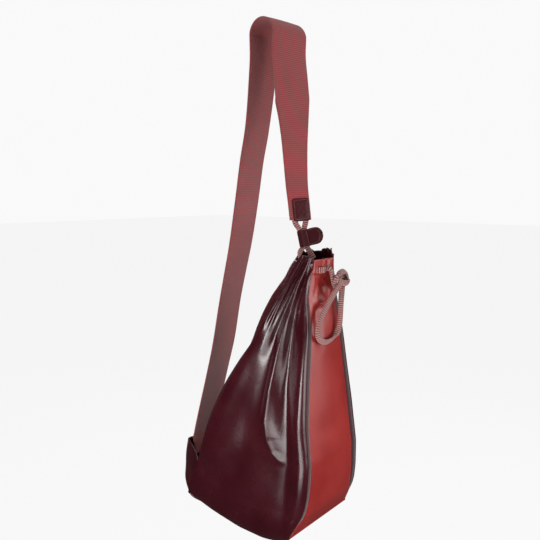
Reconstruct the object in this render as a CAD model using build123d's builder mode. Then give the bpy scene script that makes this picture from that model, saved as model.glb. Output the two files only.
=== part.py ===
from build123d import *
import math
import os

# Two-tone leather drawstring shoulder bag, hanging from its wide webbing strap.
# Millimetres, +Z up. The origin is the hang point: the inside of the strap's bend,
# where a hook, a rail or a shoulder carries it. +X is the side of the red front
# gusset, and the bag is symmetric about the plane Y = 0 apart from the tied cord.

# ---------------------------------------------------------------- driving sizes
HANG_X = 16.0          # hang point, from the middle of the base
HANG_Z = 578.0         # hang point, above the underside of the base
LEATHER = 2.2          # leather with its turned edge
STRAP_W = 50.0         # webbing width
STRAP_T = 1.8          # webbing thickness
FOLD_W = 26.0          # the webbing's front end with both edges folded in
CORD_D = 4.6           # drawcord, as a round tube
CHANNEL_Z = 298.0      # the drawcord's level round the mouth
GAP = 0.06             # between the edges of neighbouring panels

# Sections of the bag: height, back X, back half width, front X, front half width.
STATIONS = [
    (0.0, -81.0, 60.0, 83.0, 58.0),
    (12.0, -78.0, 60.0, 88.0, 54.0),
    (40.0, -67.0, 59.0, 97.5, 47.5),
    (80.0, -53.0, 58.0, 100.0, 45.0),
    (150.0, -24.0, 53.0, 93.5, 39.5),
    (225.0, 15.0, 44.0, 88.5, 29.5),
    (270.0, 37.0, 32.0, 84.5, 26.5),
    (292.0, 46.0, 23.0, 84.5, 22.5),
    (308.0, 49.0, 17.0, 85.5, 19.5),
]

# Middle line of the strap in the plane Y = 0, from the anchor up, over the bend,
# and down the front: X and height.
STRAP_BACK = [
    (-105.2, 34.0), (-108.6, 45.0), (-110.7, 55.0), (-108.5, 66.0), (-99.5, 98.0), (-86.0, 142.0), (-71.5, 190.0),
    (-58.9, 247.0), (-49.7, 283.0), (-40.3, 319.0), (-29.0, 375.0), (-20.5, 423.0),
    (-13.0, 458.0), (-6.3, 508.0), (-3.2, 545.0),
]
BEND_R = 19.6          # of the strap's middle line over the hook
BEND_C = (16.0, 559.3)
STRAP_FRONT = [(35.0, 545.0), (38.7, 510.0)]
FOLD = [               # X, height, width, thickness of the folded front end
    (38.7, 510.0, 50.0, 1.8), (41.4, 482.0, 50.0, 1.8), (43.2, 452.0, 36.0, 3.0),
    (44.2, 431.0, 26.5, 3.6), (46.6, 393.0, 26.0, 3.6), (52.2, 351.5, 26.0, 3.6),
]
PATCH = (21.0, 26.0, 1.5)      # width, height, thickness
SLIDER_AXIS = (0.2535, 0.0, -0.9673)   # down the doubled cord
SLIDER_AT = (57.0, 0.0, 331.8)         # middle of the slider on the doubled cord
SLIDER_L = 19.0
TAB_L = 23.0


def X(x):
    return x - HANG_X


def Z(z):
    return z - HANG_Z


def P(x, y, z):
    return (x - HANG_X, y, z - HANG_Z)


def station(z):
    """The bag's section at a height, between the listed ones."""
    for a, b in zip(STATIONS, STATIONS[1:]):
        if a[0] <= z <= b[0]:
            t = (z - a[0]) / (b[0] - a[0])
            return tuple(p + (q - p) * t for p, q in zip(a, b))
    return STATIONS[-1] if z > STATIONS[-1][0] else STATIONS[0]


def inset(s, d):
    """Section s moved in by d on all four sides: height and four corners."""
    z, xb, yb, xf, yf = s
    k = (yf - yb) / (xf - xb)
    side = d * math.hypot(1, k)

    def half(x):
        return yb + k * (x - xb) - side

    return z, xb + d, half(xb + d), xf - d, half(xf - d)


def levels(z0, z1):
    return [z0] + [s[0] for s in STATIONS if z0 + 1 < s[0] < z1 - 1] + [z1]


def ribbon(points, thick):
    """A closed outline of even thickness round an open line of points."""
    left, right = [], []
    for i, (x, z) in enumerate(points):
        x0, z0 = points[max(i - 1, 0)]
        x1, z1 = points[min(i + 1, len(points) - 1)]
        n = math.hypot(x1 - x0, z1 - z0)
        nx, nz = -(z1 - z0) / n * thick / 2, (x1 - x0) / n * thick / 2
        left.append((X(x + nx), Z(z + nz)))
        right.append((X(x - nx), Z(z - nz)))
    return left + right[::-1]


def radii(points):
    """The bend radius at each inner point of a cord: 0.45 of its shorter run over tan(half turn)."""
    out = []
    for a, b, c in zip(points, points[1:], points[2:]):
        u, v = Vector(*b) - Vector(*a), Vector(*c) - Vector(*b)
        turn = math.radians(u.get_angle(v))
        out.append(0.45 * min(u.length, v.length) / math.tan(turn / 2))
    return out


# ---------------------------------------------------------------- leather panels
# The base hangs between the front and back gussets: share of the way from back to
# front, and height. The middle stretch is flat.
SAG = [(0.0, 0.0), (0.10, -8.0), (0.28, -13.5), (0.45, -16.0), (0.72, -16.0), (0.86, -10.5), (0.96, -4.0), (1.0, 0.0)]


def skirt(side):
    """The plane of a side panel's lower edge, its run and the outline below height 0."""
    _, xb, yb, xf, yf = STATIONS[0]
    run = math.hypot(xf - xb, yf - yb)
    d = ((xf - xb) / run, side * (yf - yb) / run, 0.0)
    plane = Plane(origin=P(xb, side * yb, 0.0), x_dir=d, z_dir=(d[1], -d[0], 0.0))
    return plane, [(s * run, z) for s, z in SAG]


with BuildPart() as side_panel_near:
    for s in STATIONS:
        z, xb, yb, xf, yf = s
        _, _, ib, _, jf = inset(s, LEATHER)
        k = (yf - yb) / (xf - xb)
        ti = LEATHER * math.hypot(1, k)
        with BuildSketch(Plane.XY.offset(Z(z))):
            with BuildLine():
                Polyline((X(xb), -yb), (X(xf), -yf), (X(xf), -(yf - ti)), (X(xb), -(yb - ti)), close=True)
            make_face()
    loft(ruled=True)
    edge_plane, outline = skirt(-1)
    with BuildSketch(edge_plane):
        with BuildLine():
            Polyline(*outline, close=True)
        make_face()
    extrude(amount=-LEATHER)

with BuildPart() as side_panel_far:
    for s in STATIONS:
        z, xb, yb, xf, yf = s
        k = (yf - yb) / (xf - xb)
        ti = LEATHER * math.hypot(1, k)
        with BuildSketch(Plane.XY.offset(Z(z))):
            with BuildLine():
                Polyline((X(xb), yb), (X(xf), yf), (X(xf), yf - ti), (X(xb), yb - ti), close=True)
            make_face()
    loft(ruled=True)
    edge_plane, outline = skirt(1)
    with BuildSketch(edge_plane):
        with BuildLine():
            Polyline(*outline, close=True)
        make_face()
    extrude(amount=LEATHER)

# The red front gusset stands between the two side panels. Two slots let the drawcord out.
with BuildPart() as front_gusset:
    for s in STATIONS:
        z, xb, yb, xf, yf = s
        k = (yf - yb) / (xf - xb)
        ti = LEATHER * math.hypot(1, k) + GAP
        h0, h1 = yf - ti, yf - ti - k * LEATHER
        with BuildSketch(Plane.XY.offset(Z(z))):
            with BuildLine():
                Polyline((X(xf), -h0), (X(xf), h0), (X(xf - LEATHER), h1), (X(xf - LEATHER), -h1), close=True)
            make_face()
    loft(ruled=True)
    with BuildSketch(Plane.YZ.offset(X(76.0))):
        with Locations((-12.0, Z(CHANNEL_Z)), (7.5, Z(CHANNEL_Z))):
            SlotCenterToCenter(3.0, 5.6)
    extrude(amount=20.0, mode=Mode.SUBTRACT)

# The back gusset leans forward from the base to the mouth.
with BuildPart() as back_gusset:
    for s in STATIONS:
        z, xb, yb, xf, yf = s
        k = (yf - yb) / (xf - xb)
        ti = LEATHER * math.hypot(1, k) + GAP
        h0, h1 = yb - ti, yb - ti + k * LEATHER
        with BuildSketch(Plane.XY.offset(Z(z))):
            with BuildLine():
                Polyline((X(xb), -h0), (X(xb), h0), (X(xb + LEATHER), h1), (X(xb + LEATHER), -h1), close=True)
            make_face()
    loft(ruled=True)

def hammock(lift, thick, gap):
    """A sheet that follows the base's sag, cut to the section at the base less a gap."""
    _, xb, yb, xf, yf = inset(STATIONS[0], gap)
    xb += 0.7                              # the back gusset leans forward above it
    _, xb0, _, xf0, _ = STATIONS[0]
    line = [(xb0 + (xf0 - xb0) * s, z + lift) for s, z in SAG]
    # the first and last points move in with the gap
    line[0] = (xb, line[0][1] + (line[1][1] - line[0][1]) * (xb - line[0][0]) / (line[1][0] - line[0][0]))
    line[-1] = (xf, line[-1][1] + (line[-2][1] - line[-1][1]) * (line[-1][0] - xf) / (line[-1][0] - line[-2][0]))
    low = [(X(x), Z(z)) for x, z in line]
    high = [(X(x), Z(z + thick)) for x, z in line]
    with BuildPart() as sheet:
        with BuildSketch(Plane.XZ):
            with BuildLine():
                Polyline(*low, *high[::-1], close=True)
            make_face()
        extrude(amount=70.0, both=True)
        with BuildSketch(Plane.XY.offset(Z(-30.0))):
            with BuildLine():
                Polyline((X(xb), -yb), (X(xf), -yf), (X(xf), yf), (X(xb), yb), close=True)
            make_face()
        extrude(amount=60.0, mode=Mode.INTERSECT)
    return sheet


base_panel = hammock(0.0, LEATHER, LEATHER + 0.15)
base_board = hammock(LEATHER + 0.1, 1.6, LEATHER + 4.0)

# ---------------------------------------------------------------- lining
LINING_TOP = 280.0
with BuildPart() as lining:
    for z in levels(5.0, LINING_TOP):
        _, xb, yb, xf, yf = inset(station(z), LEATHER + 0.7)
        with BuildSketch(Plane.XY.offset(Z(z))):
            with BuildLine():
                Polyline((X(xb), -yb), (X(xf), -yf), (X(xf), yf), (X(xb), yb), close=True)
            make_face()
    loft(ruled=True)
    for z in levels(6.0, LINING_TOP):
        _, xb, yb, xf, yf = inset(station(z), LEATHER + 1.7)
        with BuildSketch(Plane.XY.offset(Z(z))):
            with BuildLine():
                Polyline((X(xb), -yb), (X(xf), -yf), (X(xf), yf), (X(xb), yb), close=True)
            make_face()
    loft(ruled=True, mode=Mode.SUBTRACT)

# The facing behind the mouth makes the drawcord's channel with the outer leather.
with BuildPart() as mouth_facing:
    for z in (282.0, 292.0, 307.0):
        _, xb, yb, xf, yf = inset(station(z), LEATHER + 6.4)
        with BuildSketch(Plane.XY.offset(Z(z))):
            with BuildLine():
                Polyline((X(xb), -yb), (X(xf), -yf), (X(xf), yf), (X(xb), yb), close=True)
            make_face()
    loft(ruled=True)
    for z in (282.0, 292.0, 307.0):
        _, xb, yb, xf, yf = inset(station(z), LEATHER + 7.4)
        with BuildSketch(Plane.XY.offset(Z(z))):
            with BuildLine():
                Polyline((X(xb), -yb), (X(xf), -yf), (X(xf), yf), (X(xb), yb), close=True)
            make_face()
    loft(ruled=True, mode=Mode.SUBTRACT)

# ---------------------------------------------------------------- drawcord round the mouth
ring_route = [
    P(66.0, -15.1, CHANNEL_Z), P(79.4, -15.1, CHANNEL_Z), P(79.4, 15.1, CHANNEL_Z),
    P(52.6, 15.1, CHANNEL_Z), P(52.6, -15.1, CHANNEL_Z), P(65.9, -15.1, CHANNEL_Z),
]
with BuildPart() as drawcord_channel:
    with BuildLine() as ring:
        FilletPolyline(*ring_route, radius=4.4)
    with BuildSketch(Plane(origin=ring_route[0], z_dir=(1, 0, 0))):
        Circle(CORD_D / 2)
    sweep(path=ring.wires()[0])

# The doubled cord from the mouth through the slider to the strap's end.
ax = Vector(*SLIDER_AXIS)
px = Vector(0.9673, 0.0, 0.2535)          # across the cord, towards the tab
mid = Vector(*P(*SLIDER_AT))
STRAND = 2.55                              # each strand's distance from the middle
near_top = mid - ax * 15.0 - px * STRAND
near_low = mid + ax * 15.0 - px * STRAND
far_top = mid - ax * 15.0 + px * STRAND
far_low = mid + ax * 15.0 + px * STRAND
near_route = [P(50.6, -7.0, 354.0), tuple(near_top), tuple(near_low), P(61.0, -6.5, 309.0)]
far_route = [P(53.0, 7.0, 354.0), tuple(far_top), tuple(far_low), P(68.0, 6.0, 309.0)]
with BuildPart() as drawcord_bight:
    for route in (near_route, far_route):
        r = [min(q, 14.0) for q in radii(route)]
        print("bight radii", [round(q, 1) for q in r])
        with BuildLine() as bight_line:
            FilletPolyline(*route, radius=r)
        with BuildSketch(Plane(origin=route[0], z_dir=tuple(Vector(*route[1]) - Vector(*route[0])))):
            Circle(CORD_D / 2)
        sweep(path=bight_line.wires()[0])

# The short length that lies on the red leather between the two slots.
with BuildPart() as drawcord_front_strip:
    with BuildSketch(Plane.XZ.offset(13.5)):
        with Locations((X(87.35), Z(CHANNEL_Z))):
            RectangleRounded(3.2, 7.6, 1.4)
    extrude(amount=-23.0)

# ---------------------------------------------------------------- tied knot and its hanging loop
KNOT = (93.6, 24.5, 284.5)
with BuildPart() as drawcord_knot:
    with BuildSketch(Plane.XZ.offset(-KNOT[1])) as knot_face:
        with Locations((X(KNOT[0]), Z(KNOT[2]))):
            RectangleRounded(11.0, 22.0, 5.0)
    extrude(amount=8.5, both=True)
    fillet(drawcord_knot.edges().filter_by(GeomType.LINE).filter_by(Axis.Z), radius=4.0)

loop_route = [
    P(95.0, 19.0, 273.4), P(95.4, 7.0, 264.5), P(95.6, -7.0, 253.0), P(96.0, -17.5, 240.0),
    P(96.0, -17.0, 225.5), P(96.0, -4.5, 216.5), P(96.0, 10.0, 218.5), P(96.0, 21.0, 229.5),
    P(95.6, 26.0, 245.0), P(95.2, 28.5, 260.0), P(95.0, 28.0, 273.4),
]
with BuildPart() as drawcord_loop:
    r = radii(loop_route)
    print("loop radii", [round(q, 1) for q in r])
    with BuildLine() as loop_line:
        FilletPolyline(*loop_route, radius=r)
    with BuildSketch(Plane(origin=loop_route[0], z_dir=tuple(Vector(*loop_route[1]) - Vector(*loop_route[0])))):
        Circle(CORD_D / 2)
    sweep(path=loop_line.wires()[0])
    length = loop_line.wires()[0].length
    print("loop length", round(length, 1), "volume ratio", round(drawcord_loop.part.volume / (math.pi * CORD_D ** 2 / 4 * length), 4))

# ---------------------------------------------------------------- strap
arc_points = []
for i in range(15):
    a = math.radians(180.0 - 180.0 * i / 14)
    arc_points.append((BEND_C[0] + BEND_R * math.cos(a), BEND_C[1] + BEND_R * math.sin(a)))
strap_line = STRAP_BACK + arc_points + STRAP_FRONT
with BuildPart() as shoulder_strap:
    with BuildSketch(Plane.XZ):
        with BuildLine():
            Polyline(*ribbon(strap_line, STRAP_T), close=True)
        make_face()
    extrude(amount=STRAP_W / 2, both=True)
    for x, z, w, t in FOLD:
        with BuildSketch(Plane.XY.offset(Z(z))):
            with Locations((X(x), 0.0)):
                Rectangle(t, w)
    loft(ruled=True)

# Leather patches sewn on both faces of the strap's folded end.
end_dir = Vector(5.6, 0.0, -41.5).normalized()          # down the folded end
out_dir = Vector(41.5, 0.0, 5.6).normalized()           # out of its front face
end_mid = Vector(*P(50.45, 0.0, 364.6))
patch_plane = Plane(origin=tuple(end_mid + out_dir * 1.95), x_dir=(0, 1, 0), z_dir=tuple(out_dir))
with BuildPart() as strap_end_patch_outer:
    with BuildSketch(patch_plane):
        RectangleRounded(PATCH[0], PATCH[1], 1.5)
    extrude(amount=PATCH[2])
back_plane = Plane(origin=tuple(end_mid - out_dir * 1.95), x_dir=(0, 1, 0), z_dir=tuple(out_dir * -1))
with BuildPart() as strap_end_patch_inner:
    with BuildSketch(back_plane):
        RectangleRounded(PATCH[0], PATCH[1], 1.5)
    extrude(amount=PATCH[2])

# One row of thread round the edge of the outer patch.
stitch_w, stitch_h = PATCH[0] - 4.4, PATCH[1] - 4.4
with BuildPart() as patch_stitching:
    stitch_plane = Plane(origin=tuple(end_mid + out_dir * (1.95 + PATCH[2] + 0.02)), x_dir=(0, 1, 0), z_dir=tuple(out_dir))
    with BuildSketch(stitch_plane):
        with GridLocations(stitch_w, stitch_h / 7, 2, 8):
            SlotOverall(2.2, 0.7, rotation=90)
        with GridLocations(stitch_w / 5, stitch_h, 4, 2):
            SlotOverall(2.2, 0.7)
    extrude(amount=0.4)

# ---------------------------------------------------------------- lower anchor
# A leather boot, open at the top, stands out of the lower back, and the strap's end is
# sewn inside its outer wall.
ANCHOR = [   # height, X of the outer face, half width
    (1.0, -84.0, 57.0), (12.0, -96.5, 51.0), (40.0, -111.0, 35.0), (54.0, -113.6, 29.2), (64.0, -113.0, 28.2),
]
ANCHOR_HOLLOW = [
    (3.4, -85.4, 54.0), (12.0, -94.6, 49.0), (40.0, -109.2, 33.2), (54.0, -111.4, 27.4), (66.0, -110.8, 26.2),
]
with BuildPart() as strap_anchor:
    for z, x, half in ANCHOR:
        _, xb, yb, _, _ = station(z)
        with BuildSketch(Plane.XY.offset(Z(z))):
            with BuildLine():
                Polyline((X(xb - 0.15), -(yb - 2.5)), (X(xb - 0.15), yb - 2.5), (X(x), half), (X(x), -half), close=True)
            make_face()
    loft(ruled=True)
    for z, x, half in ANCHOR_HOLLOW:
        _, xb, yb, _, _ = station(z)
        with BuildSketch(Plane.XY.offset(Z(z))):
            with BuildLine():
                Polyline((X(xb - 1.75), -(yb - 4.6)), (X(xb - 1.75), yb - 4.6), (X(x), half), (X(x), -half), close=True)
            make_face()
    loft(ruled=True, mode=Mode.SUBTRACT)

# ---------------------------------------------------------------- slider
# A leather strip folded round the doubled cord and sewn to itself as a rounded tab.
slider_plane = Plane(origin=tuple(mid - ax * (SLIDER_L / 2)), x_dir=tuple(px), z_dir=tuple(ax))
tab_plane = Plane(origin=tuple(mid), x_dir=tuple(px), z_dir=(0, -1, 0))
with BuildPart() as cord_slider:
    with BuildSketch(slider_plane):
        RectangleRounded(13.6, 8.8, 3.4)
    extrude(amount=SLIDER_L)
    with BuildSketch(tab_plane) as tab_outline:
        with BuildLine():
            l1 = Line((5.0, SLIDER_L / 2), (TAB_L - 8.0, SLIDER_L / 2))
            l2 = ThreePointArc((TAB_L - 8.0, SLIDER_L / 2), (TAB_L + 1.5, 0.0), (TAB_L - 8.0, -SLIDER_L / 2))
            l3 = Line((TAB_L - 8.0, -SLIDER_L / 2), (5.0, -SLIDER_L / 2))
            l4 = Line((5.0, -SLIDER_L / 2), (5.0, SLIDER_L / 2))
        make_face()
    extrude(amount=1.7, both=True)
    with BuildSketch(Plane(origin=tuple(mid - ax * (SLIDER_L / 2 + 1)), x_dir=tuple(px), z_dir=tuple(ax))):
        RectangleRounded(10.6, 5.4, 2.6)
    extrude(amount=SLIDER_L + 2, mode=Mode.SUBTRACT)

with BuildPart() as slider_stitching:
    for side in (1, -1):
        face = Plane(origin=tuple(mid + Vector(0, -1, 0) * (1.72 if side > 0 else -2.12)), x_dir=tuple(px), z_dir=(0, -1, 0))
        with BuildSketch(face):
            with GridLocations(2.9, SLIDER_L - 4.0, 3, 2):
                with Locations((11.6, 0.0)):
                    SlotOverall(2.1, 0.7)
            with PolarLocations(0.0, 1):
                for k in range(5):
                    a = math.radians(-60 + 30 * k)
                    with Locations((TAB_L - 7.4 + 6.6 * math.cos(a), 7.0 * math.sin(a))):
                        SlotOverall(2.1, 0.7, rotation=math.degrees(a) + 90)
        extrude(amount=0.4)

# ---------------------------------------------------------------- write the pieces
os.makedirs("parts", exist_ok=True)
pieces = {
    "side_panel_near": side_panel_near,
    "side_panel_far": side_panel_far,
    "front_gusset": front_gusset,
    "back_gusset": back_gusset,
    "base_panel": base_panel,
    "base_board": base_board,
    "lining": lining,
    "mouth_facing": mouth_facing,
    "shoulder_strap": shoulder_strap,
    "strap_end_patch_outer": strap_end_patch_outer,
    "strap_end_patch_inner": strap_end_patch_inner,
    "patch_stitching": patch_stitching,
    "strap_anchor": strap_anchor,
    "drawcord_channel": drawcord_channel,
    "drawcord_bight": drawcord_bight,
    "drawcord_front_strip": drawcord_front_strip,
    "drawcord_knot": drawcord_knot,
    "drawcord_loop": drawcord_loop,
    "cord_slider": cord_slider,
    "slider_stitching": slider_stitching,
}
for name, piece in pieces.items():
    piece.part.label = name
    export_step(piece.part, f"parts/{name}.step")
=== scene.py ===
import math

import bmesh
import bpy
import numpy as np
from mathutils import Euler, Matrix, Vector


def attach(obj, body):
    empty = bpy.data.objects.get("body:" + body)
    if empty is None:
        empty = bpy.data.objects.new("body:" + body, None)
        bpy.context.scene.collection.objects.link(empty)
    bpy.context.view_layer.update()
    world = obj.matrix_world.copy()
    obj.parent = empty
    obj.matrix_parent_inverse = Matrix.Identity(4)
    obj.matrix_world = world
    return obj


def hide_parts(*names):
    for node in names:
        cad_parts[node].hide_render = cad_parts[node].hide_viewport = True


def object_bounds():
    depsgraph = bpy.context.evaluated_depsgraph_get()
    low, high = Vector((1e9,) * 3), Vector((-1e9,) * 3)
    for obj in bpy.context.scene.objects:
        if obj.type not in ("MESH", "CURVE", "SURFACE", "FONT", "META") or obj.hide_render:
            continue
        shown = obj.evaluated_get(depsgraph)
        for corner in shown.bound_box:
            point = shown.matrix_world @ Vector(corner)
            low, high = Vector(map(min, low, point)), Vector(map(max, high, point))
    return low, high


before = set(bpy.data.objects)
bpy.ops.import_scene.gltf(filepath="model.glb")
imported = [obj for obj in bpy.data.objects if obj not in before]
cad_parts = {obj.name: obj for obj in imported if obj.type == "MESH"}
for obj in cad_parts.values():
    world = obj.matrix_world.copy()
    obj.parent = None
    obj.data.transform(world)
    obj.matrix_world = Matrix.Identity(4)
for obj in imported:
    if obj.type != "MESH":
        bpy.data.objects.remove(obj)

CAD_LO, CAD_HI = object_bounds()
CAD_BOX = [[float(v) for v in CAD_LO], [float(v) for v in CAD_HI]]

# ------------------------------------------------------------------ the bag's own frame
# Lengths below are millimetres from the middle of the base, as the pattern pieces are
# cut. The shared frame starts at the hanging point, inside the strap's bend.
HX, HZ = 16.0, -578.0


def W(x, y, z):
    return Vector(((x - HX) / 1000.0, y / 1000.0, (z + HZ) / 1000.0))


def WA(a):
    """The same for an array whose last axis is x, y, z."""
    a = np.asarray(a, float)
    return (a + np.array([-HX, 0.0, HZ])) / 1000.0


def pchip(x, y, q):
    """Smooth curve through points, with no overshoot."""
    x, y, q = np.asarray(x, float), np.asarray(y, float), np.asarray(q, float)
    h, d = np.diff(x), np.diff(y) / np.diff(x)
    m = np.zeros(len(x))
    for i in range(1, len(x) - 1):
        if d[i - 1] * d[i] > 0:
            w1, w2 = 2 * h[i] + h[i - 1], h[i] + 2 * h[i - 1]
            m[i] = (w1 + w2) / (w1 / d[i - 1] + w2 / d[i])
    m[0], m[-1] = d[0], d[-1]
    k = np.clip(np.searchsorted(x, q) - 1, 0, len(x) - 2)
    t = np.clip((q - x[k]) / h[k], 0, 1)
    t2, t3 = t * t, t * t * t
    return (2 * t3 - 3 * t2 + 1) * y[k] + (t3 - 2 * t2 + t) * h[k] * m[k] + (-2 * t3 + 3 * t2) * y[k + 1] + (t3 - t2) * h[k] * m[k + 1]


def smooth(a, b, t):
    t = np.clip((np.asarray(t, float) - a) / (b - a), 0, 1)
    return t * t * (3 - 2 * t)


# ------------------------------------------------------------------ meshes
def new_object(name, verts, faces, uv=None, smooth_shade=True):
    me = bpy.data.meshes.new(name)
    me.from_pydata([tuple(v) for v in verts], [], [tuple(f) for f in faces])
    me.update()
    if uv is not None:
        layer = me.uv_layers.new(name="lay")
        loops = np.zeros(len(me.loops), np.int32)
        me.loops.foreach_get("vertex_index", loops)
        layer.data.foreach_set("uv", np.asarray(uv, float)[loops].reshape(-1))
    if smooth_shade:
        me.polygons.foreach_set("use_smooth", [True] * len(me.polygons))
    o = bpy.data.objects.new(name, me)
    bpy.context.scene.collection.objects.link(o)
    return o


def grid_faces(n, m, wrap=False, flip=False, base=0):
    f = []
    for i in range(n - 1):
        for j in range(m if wrap else m - 1):
            a, b = i * m + j, i * m + (j + 1) % m
            c, d = (i + 1) * m + (j + 1) % m, (i + 1) * m + j
            f.append((base + a, base + d, base + c, base + b) if flip else (base + a, base + b, base + c, base + d))
    return f


def apply_modifiers(o):
    dg = bpy.context.evaluated_depsgraph_get()
    me = bpy.data.meshes.new_from_object(o.evaluated_get(dg), depsgraph=dg)
    old = o.data
    o.modifiers.clear()
    o.data = me
    me.name = o.name
    bpy.data.meshes.remove(old)
    return o


def thicken(o, mm, rim=None, offset=-1.0, bevel=None):
    m = o.modifiers.new("thick", "SOLIDIFY")
    m.thickness = mm / 1000.0
    m.offset = offset
    m.use_even_offset = False
    m.use_rim = True
    if rim is not None:
        m.material_offset_rim = rim
    return apply_modifiers(o)


# ------------------------------------------------------------------ materials
def material(name):
    m = bpy.data.materials.new(name)
    m.use_nodes = True
    t = m.node_tree
    t.nodes.clear()
    out = t.nodes.new("ShaderNodeOutputMaterial")
    b = t.nodes.new("ShaderNodeBsdfPrincipled")
    t.links.new(b.outputs[0], out.inputs[0])
    return m, t, b


def node(t, kind, **kw):
    n = t.nodes.new(kind)
    for k, v in kw.items():
        if k in n.inputs:
            n.inputs[k].default_value = v
        else:
            setattr(n, k, v)
    return n


def math_node(t, op, a, b=None, c=None, clamp=False):
    n = t.nodes.new("ShaderNodeMath")
    n.operation = op
    n.use_clamp = clamp
    for i, v in enumerate((a, b, c)):
        if v is None:
            continue
        if isinstance(v, (int, float)):
            n.inputs[i].default_value = v
        else:
            t.links.new(v, n.inputs[i])
    return n.outputs[0]


def ramp(t, fac, stops):
    n = t.nodes.new("ShaderNodeValToRGB")
    e = n.color_ramp.elements
    while len(e) < len(stops):
        e.new(0.5)
    for k, (p, col) in enumerate(stops):
        e[k].position = p
        e[k].color = (*col, 1.0) if len(col) == 3 else col
    t.links.new(fac, n.inputs[0])
    return n.outputs[0]


def leather(name, dark, light, rough=(0.20, 0.30), grain=0.25, grain_mm=0.8, coat=0.2, coat_rough=0.12, wrinkle=0.0, spec=0.5):
    m, t, b = material(name)
    pos = t.nodes.new("ShaderNodeTexCoord").outputs["Object"]
    wide = node(t, "ShaderNodeTexNoise", Scale=22.0, Detail=3.0, Roughness=0.5)
    t.links.new(pos, wide.inputs["Vector"])
    fine = node(t, "ShaderNodeTexNoise", Scale=1300.0, Detail=3.0, Roughness=0.6)
    t.links.new(pos, fine.inputs["Vector"])
    cells = node(t, "ShaderNodeTexVoronoi", Scale=1000.0 / grain_mm, Randomness=1.0)
    cells.feature = "SMOOTH_F1"
    cells.inputs["Smoothness"].default_value = 0.6
    t.links.new(pos, cells.inputs["Vector"])
    col = ramp(t, wide.outputs["Fac"], [(0.30, dark), (0.70, light)])
    t.links.new(col, b.inputs["Base Color"])
    r = t.nodes.new("ShaderNodeMapRange")
    r.inputs["From Min"].default_value, r.inputs["From Max"].default_value = 0.3, 0.7
    r.inputs["To Min"].default_value, r.inputs["To Max"].default_value = rough
    t.links.new(wide.outputs["Fac"], r.inputs["Value"])
    t.links.new(r.outputs[0], b.inputs["Roughness"])
    height = math_node(t, "ADD", math_node(t, "MULTIPLY", cells.outputs["Distance"], 1.0), math_node(t, "MULTIPLY", fine.outputs["Fac"], 0.45))
    if wrinkle:
        crumple = node(t, "ShaderNodeTexNoise", Scale=150.0, Detail=3.0, Roughness=0.55, Distortion=0.6)
        t.links.new(pos, crumple.inputs["Vector"])
        height = math_node(t, "ADD", height, math_node(t, "MULTIPLY", crumple.outputs["Fac"], wrinkle))
    bump = node(t, "ShaderNodeBump", Strength=grain, Distance=0.0001)
    t.links.new(height, bump.inputs["Height"])
    t.links.new(bump.outputs[0], b.inputs["Normal"])
    b.inputs["Coat Weight"].default_value = coat
    b.inputs["Coat Roughness"].default_value = coat_rough
    b.inputs["Specular IOR Level"].default_value = spec
    return m


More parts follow.
